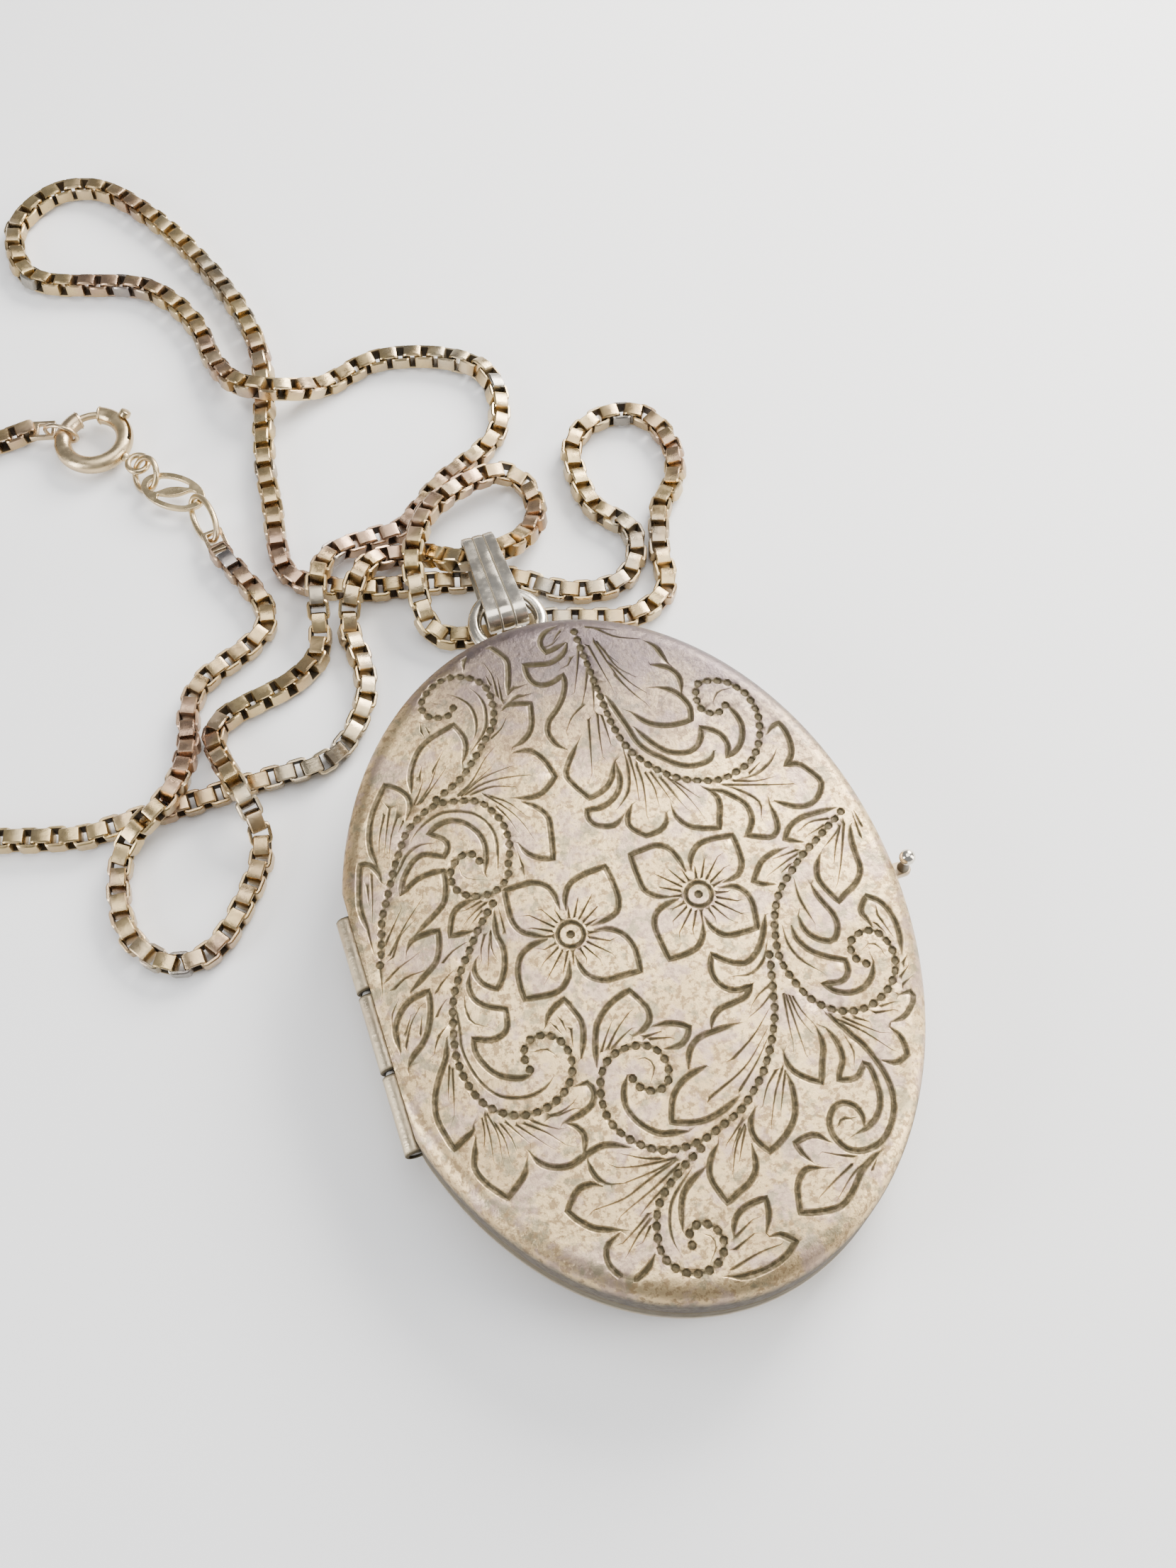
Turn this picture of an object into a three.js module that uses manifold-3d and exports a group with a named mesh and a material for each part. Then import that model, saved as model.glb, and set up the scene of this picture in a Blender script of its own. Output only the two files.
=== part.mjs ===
// An engraved oval silver locket, lying on its back, with its bail and a fastened box chain.
// Millimetres, +Z up. The front cover faces up, the bail points along +Y and the hinge is at -X.
// The origin is under the middle of the locket with its bail, hinge and thumb piece.
import * as THREE from "three";
import { mergeVertices } from "three/addons/utils/BufferGeometryUtils.js";
import Module from "manifold-3d";

const wasm = await Module();
wasm.setup();

// ---- Driving dimensions -------------------------------------------------------------------

// The case: two oval shells that meet at a seam.
const CASE_WIDTH = 30;
const CASE_LENGTH = 40;
const CASE_HEIGHT = 6.4;
const SEAM_HEIGHT = 3.2;
const SEAM_GAP = 0.04;
const EDGE_START = 0.93; // share of the radius where the face rolls over into the side
const EDGE_DROP = 1.1;
const FRONT_CROWN = 0.5;
const BACK_CROWN = 0.4;
const BACK_FLAT_SHARE = 0.6;
const WALL = 0.45;
const HINGE_FLAT_X = -14;
const FLAT_WALL = 0.4;

// The hinge: three knuckles on one pin, set into the flat of the oval.
const BARREL_RADIUS = 0.6;
const BARREL_BORE = 0.41;
const PIN_RADIUS = 0.35;
const BARREL_X = -14.2;
const BARREL_MIDDLE_Y = -0.6;
const KNUCKLE_LENGTH = 4.43;
const KNUCKLE_GAP = 0.22;
const NOTCH_CLEARANCE = 0.06;

// The snap rim and the picture fittings inside.
const RIM_THICKNESS = 0.32;
const RIM_CLEARANCE = 0.08;
const RIM_HEIGHT_ABOVE_SEAM = 0.55;
const RIM_DEPTH = 0.9;
const FRAME_WIDTH = 1.5;
const FRAME_THICKNESS = 0.5;
const FIT_GAP = 0.04;

// The thumb piece: a lug on the cover with a ball-headed post.
const THUMB_Y = -0.9;
const THUMB_X = 15.85;
const THUMB_BALL_RADIUS = 0.45;
const THUMB_BALL_HEIGHT = 5.2;

// The loop at the top of the case and the bail that hangs on it.
const LOOP_RADIUS = 2.0;
const LOOP_WIRE = 0.42;
const LOOP_Y = 21.6;
const BAIL_BACK_LENGTH = 2.3; // from the pivot to the end inside the loop
const BAIL_FRONT_LENGTH = 4.9; // from the pivot to the end that holds the chain
const BAIL_TIP_HEIGHT = 2.5;
const BAIL_FOOT_HEIGHT = 1.9;
const BAIL_STRIP = 0.32;
const BAIL_TIP_WIDTH = 1.95;
const BAIL_FOOT_WIDTH = 2.5;
const BAIL_DROOP = THREE.MathUtils.degToRad(8);

// The chain and its fittings.
const CHAIN_WIDTH = 1.4;
const CHAIN_STEPS = 110;
const CHAIN_REST_HEIGHT = CHAIN_WIDTH / 2 + 0.02;
const FITTINGS_HEIGHT = 0.95;
const RING_WIRE = 0.2;
const CLASP_CENTRE = new THREE.Vector3(-20.96, 44.85, FITTINGS_HEIGHT);
const CLASP_RADIUS = 2.0;
const CLASP_TUBE = 0.56;
const CLASP_BORE = 0.35;
const CLASP_WIRE = 0.24;
const CLASP_GAP = [70, 105]; // degrees about the clasp's centre
const CLASP_SLOT = [-25, 29];
const CLASP_NUB_AT = 22;
const CLASP_TAIL_AT = 14;
const CLASP_TIP_AT = 112;
const CLASP_STOP_AT = -64;
const EYE_AT = -50;
const EYE_DISTANCE = 3.6;
const EYE_RADIUS = 0.65;
const EYE_WIRE = 0.2;
const TAG_CENTRE = new THREE.Vector3(-16.98, 39.15, FITTINGS_HEIGHT);
const TAG_DIRECTION = new THREE.Vector3(0.76, -0.65, 0).normalize();
const TAG_HOLE_OFFSET = 1.4;
const TAG_HOLE_RADIUS = 0.48;
const RIGHT_LINK = new THREE.Vector3(-15.3, 34.75, FITTINGS_HEIGHT);
const LEFT_LINK_AT = 148;
const LEFT_RING_SPAN = [1.17, 3.35]; // distances of its two ends from the clasp's centre

// The chain's route, from the ring by the tag to the ring at the clasp. It lies on the ground, humps
// over itself where it crosses, and goes through the bail near its end.
const CHAIN_ROUTE = [
  [-15.15, 33.6, 0.85], [-13.6, 28.2, 0.72], [-14.7, 26.8, 0.72], [-18.5, 25, 0.72], [-19.6, 23.4, 0.72],
  [-20.1, 21.3, 0.8], [-20.9, 18.8, 1.8], [-22.4, 17, 2.2], [-24, 16.2, 1.8], [-25.4, 15.2, 0.8],
  [-26.2, 11.6, 0.72], [-25.7, 9.5, 0.72], [-24, 7.8, 0.72], [-21.9, 7.9, 0.72], [-18.4, 11.6, 0.72],
  [-17.6, 13.6, 0.9], [-17.7, 15.3, 2.1], [-18.1, 17.1, 2.25], [-18.6, 21.2, 0.72], [-17.5, 22.2, 0.72],
  [-13.2, 23.3, 0.72], [-11.4, 24.5, 0.72], [-10.7, 26.2, 1.1], [-10.4, 27.6, 2.1], [-10, 29, 2.25],
  [-8.6, 31, 1.4], [-6, 31.7, 0.72], [-4, 31.8, 0.72], [-1, 34.1, 0.72], [3.9, 37, 0.72],
  [4.9, 41.5, 0.72], [3.5, 43.6, 0.72], [-1.7, 45.4, 0.72], [-5.7, 44.4, 0.8], [-7.5, 44, 1.7],
  [-9.4, 44.3, 2.2], [-11.2, 46, 1.6], [-12.1, 49, 0.8], [-12.5, 52.2, 0.72], [-14.9, 56.4, 0.72],
  [-22.2, 59.9, 0.72], [-22.7, 64, 0.72], [-21.2, 66.1, 0.72], [-18.9, 67.1, 0.72], [-16.6, 66.7, 0.72],
  [-14.6, 64.8, 0.72], [-11.3, 58.6, 0.72], [-9, 48.9, 0.72], [-11, 39.3, 0.72], [-11.2, 36.6, 0.72],
  [-11.5, 30.8, 0.72], [-8.1, 28.5, 0.72], [-3.5, 27.4, 0.72], [-1, 26.7, 0.72], [1.6, 26.1, 0.72],
  [4.4, 24.1, 0.72], [7.4, 23.5, 0.72], [8.9, 24.3, 0.72], [9.8, 27, 0.72], [8.1, 29.7, 0.72],
  [8.4, 34.5, 0.72], [10.5, 36, 0.72], [13.3, 35.5, 0.72], [14.5, 32.7, 0.72], [13.6, 29.6, 0.72],
  [12.3, 28.3, 0.72], [11, 25.1, 0.72], [10.4, 22.2, 0.72], [8, 21, 0.72], [2.6, 22.5, 0.72],
  [0.8, 22.5, 0.72], [-4, 23.6, 0.8], [-4.4, 26.6, 2.2], [-3.8, 28.9, 2.65], [-1.5, 32.1, 2], [3.2, 33.7, 1.2],
  [4.4, 32.8, 0.72], [4.7, 30.8, 0.75], [3.4, 28.4, 1.6], [1.25, 27.1, 2.7], [-1.25, 27.08, 2.7],
  [-2.8, 28.8, 1.5], [-4.1, 29.7, 0.85], [-6.2, 29.6, 1.5], [-7.8, 28.1, 2.2], [-8.6, 26.7, 1.7],
  [-9, 25.8, 0.8], [-9.2, 21.3, 0.72], [-12.2, 17.7, 0.72], [-17.2, 17.4, 0.72], [-23.4, 17.3, 0.72],
  [-27.4, 17.3, 0.72], [-31.9, 18.5, 0.72], [-37.5, 20.2, 0.72], [-43, 23.2, 0.72], [-44.2, 28.4, 0.72],
  [-39.5, 30.8, 0.72], [-34.2, 31.6, 0.72], [-33.4, 36.4, 0.72], [-38.6, 38.6, 0.72], [-44.6, 40.8, 0.72],
  [-45, 47, 0.72], [-39.5, 50.6, 0.72], [-32.5, 48.9, 0.72], [-27.5, 46.9, 0.72], [-25, 46.95, 0.85],
];

// ---- Worked out from those ----------------------------------------------------------------

const HALF_WIDTH = CASE_WIDTH / 2;
const HALF_LENGTH = CASE_LENGTH / 2;
const BARREL_LENGTH = 3 * KNUCKLE_LENGTH + 2 * KNUCKLE_GAP;
const BAIL_PIVOT_Y = LOOP_Y + LOOP_RADIUS - 0.15;
const BAIL_REACH = (BAIL_FRONT_LENGTH - BAIL_TIP_HEIGHT / 2) * Math.cos(BAIL_DROOP) + BAIL_TIP_HEIGHT / 2;
const MIDDLE_X = (BARREL_X - BARREL_RADIUS + THUMB_X + THUMB_BALL_RADIUS) / 2;
const MIDDLE_Y = (-HALF_LENGTH + BAIL_PIVOT_Y + BAIL_REACH) / 2;

const SILVER = { color: 0xb9ad93, roughness: 0.32, metalness: 1 };
const DARK_SILVER = { color: 0x8d8677, roughness: 0.4, metalness: 1 };
const CHAIN_SILVER = { color: 0xc4b48d, roughness: 0.3, metalness: 1 };
const CLEAR = { color: 0xf2f4f2, roughness: 0.1, metalness: 0 };
const PAPER = { color: 0xe8e0cf, roughness: 0.9, metalness: 0 };
const SPRING_STEEL = { color: 0x9b9b98, roughness: 0.35, metalness: 1 };

const locket = new THREE.Group();
locket.position.set(-MIDDLE_X, -MIDDLE_Y, 0);

// ---- Helpers ------------------------------------------------------------------------------

function addMesh(name, geometry, finish, parent = locket) {
  const mesh = new THREE.Mesh(geometry, new THREE.MeshStandardMaterial(finish));
  mesh.name = name;
  parent.add(mesh);
  return mesh;
}

function solidOf(geometry) {
  const bare = new THREE.BufferGeometry();
  bare.setAttribute("position", geometry.getAttribute("position").clone());
  if (geometry.index) bare.setIndex(geometry.index.clone());
  const merged = mergeVertices(bare, 1e-4);
  return new wasm.Manifold(
    new wasm.Mesh({
      numProp: 3,
      vertProperties: new Float32Array(merged.attributes.position.array),
      triVerts: new Uint32Array(merged.index.array),
    }),
  );
}

function geometryOf(solid) {
  const { vertProperties, triVerts } = solid.getMesh();
  const geometry = new THREE.BufferGeometry();
  geometry.setAttribute("position", new THREE.BufferAttribute(new Float32Array(vertProperties), 3));
  geometry.setIndex(new THREE.BufferAttribute(new Uint32Array(triVerts), 1));
  return geometry;
}

function block(low, high) {
  const size = high.map((value, axis) => value - low[axis]);
  const geometry = new THREE.BoxGeometry(...size);
  return geometry.translate(...low.map((value, axis) => value + size[axis] / 2));
}

// A solid turned about Z from [radius along Y, height] points, squeezed in X to the case's oval.
function oval(profile, segments = 64) {
  const points = profile.map(([radius, height]) => new THREE.Vector2(radius, height));
  const geometry = new THREE.LatheGeometry(points, segments);
  return geometry.rotateX(Math.PI / 2).scale(HALF_WIDTH / HALF_LENGTH, 1, 1);
}

// The oval solid with everything beyond a flat at x removed.
function flatted(geometry, flatX) {
  const keep = block([flatX, -HALF_LENGTH - 1, -1], [HALF_WIDTH + 1, HALF_LENGTH + 1, CASE_HEIGHT + 1]);
  return solidOf(geometry).intersect(solidOf(keep));
}

function plate(radius, low, high, flatX) {
  return flatted(oval([[0, low], [radius, low], [radius, high], [0, high]]), flatX);
}

// Closed loop of round wire along points in the XY plane, then stood up and placed by the caller.
function wireRing(halfLength, halfWidth, wire, steps = 24) {
  const points = [];
  for (let i = 0; i < 16; i++) {
    const angle = (i / 16) * 2 * Math.PI;
    points.push(new THREE.Vector3(halfLength * Math.cos(angle), halfWidth * Math.sin(angle), 0));
  }
  const path = new THREE.CatmullRomCurve3(points, true);
  return new THREE.TubeGeometry(path, steps, wire, 7, true);
}

class ArcPath extends THREE.Curve {
  constructor(radius, fromDegrees, toDegrees) {
    super();
    this.radius = radius;
    this.from = THREE.MathUtils.degToRad(fromDegrees);
    this.to = THREE.MathUtils.degToRad(toDegrees);
  }
  getPoint(t, target = new THREE.Vector3()) {
    const angle = this.from + (this.to - this.from) * t;
    return target.set(this.radius * Math.cos(angle), this.radius * Math.sin(angle), 0);
  }
}

function circle(radius) {
  return new THREE.Shape().absarc(0, 0, radius, 0, 2 * Math.PI, false);
}

function sweep(shape, path, steps, curveSegments = 5) {
  return new THREE.ExtrudeGeometry(shape, { extrudePath: path, steps, curveSegments, bevelEnabled: false });
}

function cylinderAlongY(radius, length, bore = 0) {
  const shape = circle(radius);
  if (bore > 0) shape.holes.push(circle(bore));
  const geometry = new THREE.ExtrudeGeometry(shape, { depth: length, curveSegments: 10, bevelEnabled: false });
  return geometry.translate(0, 0, -length / 2).rotateX(Math.PI / 2);
}

// ---- The case -----------------------------------------------------------------------------

// The quarter round from the side wall up to the face, as [radius, height above the seam] points.
function rolledEdge(outerRadius, innerRadius, sideTop, faceEdge, steps = 4) {
  const points = [];
  for (let i = 0; i <= steps; i++) {
    const angle = (i / steps) * (Math.PI / 2);
    points.push([
      innerRadius + (outerRadius - innerRadius) * Math.cos(angle),
      sideTop + (faceEdge - sideTop) * Math.sin(angle),
    ]);
  }
  return points;
}

// One half of the case as [radius, height above the seam] points, with its face flat to flatShare.
function halfProfile(inset, crown, flatShare, floor) {
  const outerRadius = HALF_LENGTH - inset;
  const edgeRadius = HALF_LENGTH * EDGE_START - inset * 0.8;
  const top = CASE_HEIGHT - SEAM_HEIGHT - inset;
  const faceEdge = top - crown;
  const profile = [[0, floor], [outerRadius, floor]];
  profile.push(...rolledEdge(outerRadius, edgeRadius, faceEdge - EDGE_DROP + inset * 0.4, faceEdge));
  const faceSteps = 3;
  for (let i = 1; i <= faceSteps; i++) {
    const share = 1 - i / faceSteps;
    const rise = crown * (1 - share * share);
    profile.push([edgeRadius * (flatShare + (1 - flatShare) * share), faceEdge + rise]);
  }
  if (flatShare > 0) profile.push([0, top]);
  return profile;
}

function caseHalf(crown, flatShare) {
  const shell = flatted(oval(halfProfile(0, crown, flatShare, SEAM_GAP / 2)), HINGE_FLAT_X);
  const hollow = flatted(oval(halfProfile(WALL, crown, flatShare, -1)), HINGE_FLAT_X + FLAT_WALL);
  const notch = cylinderAlongY(BARREL_RADIUS + NOTCH_CLEARANCE, BARREL_LENGTH + 2 * KNUCKLE_GAP);
  notch.translate(BARREL_X, BARREL_MIDDLE_Y, 0);
  return shell.subtract(hollow).subtract(solidOf(notch));
}

function addCase() {
  const front = geometryOf(caseHalf(FRONT_CROWN, 0)).translate(0, 0, SEAM_HEIGHT);
  addMesh("front_cover", front, SILVER);
  const back = geometryOf(caseHalf(BACK_CROWN, BACK_FLAT_SHARE));
  back.rotateX(Math.PI).scale(1, -1, 1).translate(0, 0, SEAM_HEIGHT);
  addMesh("back_cover", flipFaces(back), DARK_SILVER);
}

// Turns each face over, after a mirror.
function flipFaces(geometry) {
  const index = geometry.index.array;
  for (let i = 0; i < index.length; i += 3) {
    [index[i + 1], index[i + 2]] = [index[i + 2], index[i + 1]];
  }
  return geometry;
}

// A band between two ovals, with its own flat walls at the hinge side.
function band(outerRadius, width, low, high, flatX) {
  const outer = plate(outerRadius, low, high, flatX);
  const inner = plate(outerRadius - width, low - 1, high + 1, flatX + width * 0.75);
  return outer.subtract(inner);
}

function addSnapRim() {
  const radius = HALF_LENGTH - WALL - RIM_CLEARANCE;
  const flatX = HINGE_FLAT_X + FLAT_WALL + RIM_CLEARANCE;
  const low = SEAM_HEIGHT - RIM_DEPTH;
  const rim = band(radius, RIM_THICKNESS, low, SEAM_HEIGHT + RIM_HEIGHT_ABOVE_SEAM, flatX);
  addMesh("snap_rim", geometryOf(rim), SILVER);
}

// A picture frame pressed into a half: a flat oval ring, the clear pane behind it and the picture.
function addPicture(side, radius, flatX, frameLow, direction) {
  const frameHigh = frameLow + FRAME_THICKNESS;
  const frame = band(radius, FRAME_WIDTH, frameLow, frameHigh, flatX);
  addMesh(`${side}_picture_frame`, geometryOf(frame), SILVER);
  const paneRadius = radius - 0.45;
  const paneFlat = flatX + 0.45;
  const face = direction > 0 ? frameHigh : frameLow;
  const layers = [
    [`${side}_pane`, FIT_GAP, 0.3, CLEAR],
    [`${side}_picture`, FIT_GAP * 2 + 0.3, 0.2, PAPER],
  ];
  for (const [name, offset, thickness, finish] of layers) {
    const near = face + direction * offset;
    const far = near + direction * thickness;
    const sheet = plate(paneRadius, Math.min(near, far), Math.max(near, far), paneFlat);
    addMesh(name, geometryOf(sheet), finish);
  }
}

function addPictures() {
  const backRadius = HALF_LENGTH - WALL - RIM_CLEARANCE - RIM_THICKNESS - FIT_GAP;
  const backFlat = HINGE_FLAT_X + FLAT_WALL + RIM_CLEARANCE + RIM_THICKNESS;
  addPicture("back", backRadius, backFlat, SEAM_HEIGHT - 0.1 - FRAME_THICKNESS, -1);
  const frontRadius = HALF_LENGTH - WALL - FIT_GAP;
  const frontFlat = HINGE_FLAT_X + FLAT_WALL + 0.3;
  addPicture("front", frontRadius, frontFlat, SEAM_HEIGHT + RIM_HEIGHT_ABOVE_SEAM + 0.12, 1);
}

// ---- The hinge and the thumb piece --------------------------------------------------------

function addHinge() {
  const names = ["lower_knuckle", "middle_knuckle", "upper_knuckle"];
  names.forEach((name, i) => {
    const knuckle = cylinderAlongY(BARREL_RADIUS, KNUCKLE_LENGTH, BARREL_BORE);
    const y = BARREL_MIDDLE_Y + (i - 1) * (KNUCKLE_LENGTH + KNUCKLE_GAP);
    addMesh(name, knuckle.translate(BARREL_X, y, SEAM_HEIGHT), SILVER);
  });
  const pin = cylinderAlongY(PIN_RADIUS, BARREL_LENGTH - 0.2);
  addMesh("hinge_pin", pin.translate(BARREL_X, BARREL_MIDDLE_Y, SEAM_HEIGHT), DARK_SILVER);
}

function addThumbPiece() {
  const lugLow = SEAM_HEIGHT + 0.15;
  const lugHigh = lugLow + 0.45;
  const inner = HALF_WIDTH + FIT_GAP;
  const outer = THUMB_X + 0.42;
  addMesh("thumb_lug", block([inner, THUMB_Y - 0.42, lugLow], [outer, THUMB_Y + 0.42, lugHigh]), SILVER);
  const postLow = lugHigh + FIT_GAP;
  const postHigh = THUMB_BALL_HEIGHT - THUMB_BALL_RADIUS * 0.6;
  const post = new THREE.CylinderGeometry(0.27, 0.27, postHigh - postLow, 16).rotateX(Math.PI / 2);
  post.translate(THUMB_X, THUMB_Y, (postLow + postHigh) / 2);
  const ball = new THREE.SphereGeometry(THUMB_BALL_RADIUS, 16, 10);
  ball.translate(THUMB_X, THUMB_Y, THUMB_BALL_HEIGHT);
  addMesh("thumb_ball", geometryOf(solidOf(post).add(solidOf(ball))), SILVER);
}

// ---- The loop and the bail ----------------------------------------------------------------

function addLoop() {
  const ring = sweep(circle(LOOP_WIRE), new ArcPath(LOOP_RADIUS, -58, 238), 26);
  ring.translate(0, LOOP_Y, SEAM_HEIGHT);
  const clear = oval([[0, -1], [HALF_LENGTH + FIT_GAP, -1], [HALF_LENGTH + FIT_GAP, 8], [0, 8]]);
  addMesh("top_loop", geometryOf(solidOf(ring).subtract(solidOf(clear))), SILVER);
}

// The side view of the folded strip: a long loop, taller at the end that holds the chain.
function bailSideShape(inset) {
  const foot = BAIL_FOOT_HEIGHT / 2 - inset;
  const tip = BAIL_TIP_HEIGHT / 2 - inset;
  const footAt = -BAIL_BACK_LENGTH + inset + foot;
  const tipAt = BAIL_FRONT_LENGTH - inset - tip;
  const shape = new THREE.Shape();
  shape.absarc(footAt, 0, foot, Math.PI / 2, (3 * Math.PI) / 2, false);
  shape.absarc(tipAt, 0, tip, -Math.PI / 2, Math.PI / 2, false);
  shape.closePath();
  return shape;
}

function addBail() {
  const shape = bailSideShape(0);
  shape.holes.push(bailSideShape(BAIL_STRIP));
  const strip = new THREE.ExtrudeGeometry(shape, { depth: 4, curveSegments: 14, bevelEnabled: false });
  // The shape's x runs along the bail and its y is the height: turn it so that x goes to +Y.
  strip.translate(0, 0, -2).rotateX(Math.PI / 2).rotateZ(Math.PI / 2);
  const half = (share) => (BAIL_FOOT_WIDTH + (BAIL_TIP_WIDTH - BAIL_FOOT_WIDTH) * share) / 2;
  const taper = new THREE.Shape([
    new THREE.Vector2(-half(0), -BAIL_BACK_LENGTH - 0.1),
    new THREE.Vector2(half(0), -BAIL_BACK_LENGTH - 0.1),
    new THREE.Vector2(half(1), BAIL_FRONT_LENGTH + 0.1),
    new THREE.Vector2(-half(1), BAIL_FRONT_LENGTH + 0.1),
  ]);
  const keep = new THREE.ExtrudeGeometry(taper, { depth: 4, bevelEnabled: false }).translate(0, 0, -2);
  const bail = geometryOf(solidOf(strip).intersect(solidOf(keep)));
  bail.rotateX(-BAIL_DROOP).translate(0, BAIL_PIVOT_Y, SEAM_HEIGHT);
  addMesh("bail", bail, SILVER);
}

// ---- The clasp and the chain's fittings ---------------------------------------------------

function aroundClasp(degrees, distance) {
  const angle = THREE.MathUtils.degToRad(degrees);
  return new THREE.Vector3(Math.cos(angle), Math.sin(angle), 0).multiplyScalar(distance);
}

// The direction out of the tube, half up and half outwards, in which the nub stands.
function nubGeometry(geometry, distance) {
  return geometry
    .rotateX(Math.PI / 2)
    .translate(0, 0, distance)
    .rotateY(Math.PI / 4)
    .translate(CLASP_RADIUS, 0, 0)
    .rotateZ(THREE.MathUtils.degToRad(CLASP_NUB_AT));
}

function addClasp() {
  const clasp = new THREE.Group();
  clasp.position.copy(CLASP_CENTRE);
  locket.add(clasp);

  const section = circle(CLASP_TUBE);
  section.holes.push(circle(CLASP_BORE));
  const tube = sweep(section, new ArcPath(CLASP_RADIUS, CLASP_GAP[1], CLASP_GAP[0] + 360), 36);
  const slotWidth = 0.17;
  const slotShape = new THREE.Shape([
    new THREE.Vector2(0.15, -slotWidth),
    new THREE.Vector2(0.8, -slotWidth),
    new THREE.Vector2(0.8, slotWidth),
    new THREE.Vector2(0.15, slotWidth),
  ]);
  const slot = turned(slotShape, CLASP_SLOT);
  const stop = sweep(circle(CLASP_BORE + 0.05), new ArcPath(CLASP_RADIUS, CLASP_STOP_AT - 3, CLASP_STOP_AT), 2);
  const body = solidOf(tube).subtract(solidOf(slot)).add(solidOf(stop));
  addMesh("clasp_tube", geometryOf(body), CHAIN_SILVER, clasp);

  const wire = sweep(circle(CLASP_WIRE), new ArcPath(CLASP_RADIUS, CLASP_TAIL_AT, CLASP_TIP_AT), 16, 4);
  const stem = nubGeometry(new THREE.CylinderGeometry(0.12, 0.12, 0.8, 10), 0.44);
  const nub = nubGeometry(new THREE.CylinderGeometry(0.36, 0.36, 0.4, 14), 0.84);
  const trigger = solidOf(wire).add(solidOf(stem)).add(solidOf(nub));
  addMesh("clasp_trigger", geometryOf(trigger), CHAIN_SILVER, clasp);

  addMesh("clasp_spring", claspSpring(), SPRING_STEEL, clasp);

  const eye = new THREE.TorusGeometry(EYE_RADIUS, EYE_WIRE, 10, 24);
  eye.translate(...aroundClasp(EYE_AT, EYE_DISTANCE));
  const neckFrom = CLASP_RADIUS + CLASP_TUBE + FIT_GAP;
  const neckTo = EYE_DISTANCE - EYE_RADIUS;
  const neck = new THREE.CylinderGeometry(0.24, 0.24, neckTo - neckFrom, 12).rotateZ(Math.PI / 2);
  neck.translate((neckFrom + neckTo) / 2, 0, 0).rotateZ(THREE.MathUtils.degToRad(EYE_AT));
  addMesh("clasp_eye", geometryOf(solidOf(eye).add(solidOf(neck))), CHAIN_SILVER, clasp);
}

// A bar of the given section turned about the clasp's centre, its section leaning out at 45 degrees.
function turned(shape, [fromDegrees, toDegrees]) {
  const from = THREE.MathUtils.degToRad(fromDegrees);
  const to = THREE.MathUtils.degToRad(toDegrees);
  const steps = 10;
  const corners = shape.getPoints().map((point) => {
    const lean = Math.PI / 4;
    const out = point.x * Math.cos(lean) - point.y * Math.sin(lean);
    const up = point.x * Math.sin(lean) + point.y * Math.cos(lean);
    return [CLASP_RADIUS + out, up];
  });
  const positions = [];
  for (let i = 0; i <= steps; i++) {
    const angle = from + ((to - from) * i) / steps;
    for (const [radius, height] of corners) {
      positions.push(radius * Math.cos(angle), radius * Math.sin(angle), height);
    }
  }
  const index = [];
  const count = corners.length;
  for (let i = 0; i < steps; i++) {
    for (let j = 0; j < count; j++) {
      const a = i * count + j;
      const b = i * count + ((j + 1) % count);
      index.push(a, a + count, b, b, a + count, b + count);
    }
  }
  for (let j = 1; j < count - 1; j++) {
    index.push(0, j, j + 1);
    index.push(steps * count, steps * count + j + 1, steps * count + j);
  }
  const geometry = new THREE.BufferGeometry();
  geometry.setAttribute("position", new THREE.Float32BufferAttribute(positions, 3));
  geometry.setIndex(index);
  return geometry;
}

class SpringPath extends THREE.Curve {
  getPoint(t, target = new THREE.Vector3()) {
    const turns = 9;
    const coilRadius = 0.22;
    const from = CLASP_TAIL_AT - 2;
    const along = THREE.MathUtils.degToRad(from + (CLASP_STOP_AT + 2 - from) * t);
    const twist = 2 * Math.PI * turns * t;
    const radius = CLASP_RADIUS + coilRadius * Math.cos(twist);
    return target.set(radius * Math.cos(along), radius * Math.sin(along), coilRadius * Math.sin(twist));
  }
}

function claspSpring() {
  return sweep(circle(0.05), new SpringPath(), 108, 2);
}

// A ring of wire between two points, its plane rolled about the line between them.
function ringBetween(start, end, halfWidth, wire, rollDegrees) {
  const along = end.clone().sub(start);
  const ring = wireRing(along.length() / 2, halfWidth, wire);
  ring.rotateX(THREE.MathUtils.degToRad(rollDegrees));
  ring.rotateZ(Math.atan2(along.y, along.x));
  const middle = start.clone().add(end).multiplyScalar(0.5);
  return ring.translate(middle.x, middle.y, middle.z);
}

function endLink() {
  const outline = new THREE.Shape();
  outline.moveTo(-0.67, -0.67).lineTo(0.98, -0.67).lineTo(0.98, 0.67).lineTo(-0.67, 0.67).closePath();
  const hole = new THREE.Path();
  hole.moveTo(-0.42, -0.42).lineTo(-0.42, 0.42).lineTo(0.42, 0.42).lineTo(0.42, -0.42).closePath();
  outline.holes.push(hole);
  return new THREE.ExtrudeGeometry(outline, { depth: 0.35, bevelEnabled: false }).translate(0, 0, -0.175);
}

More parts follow.
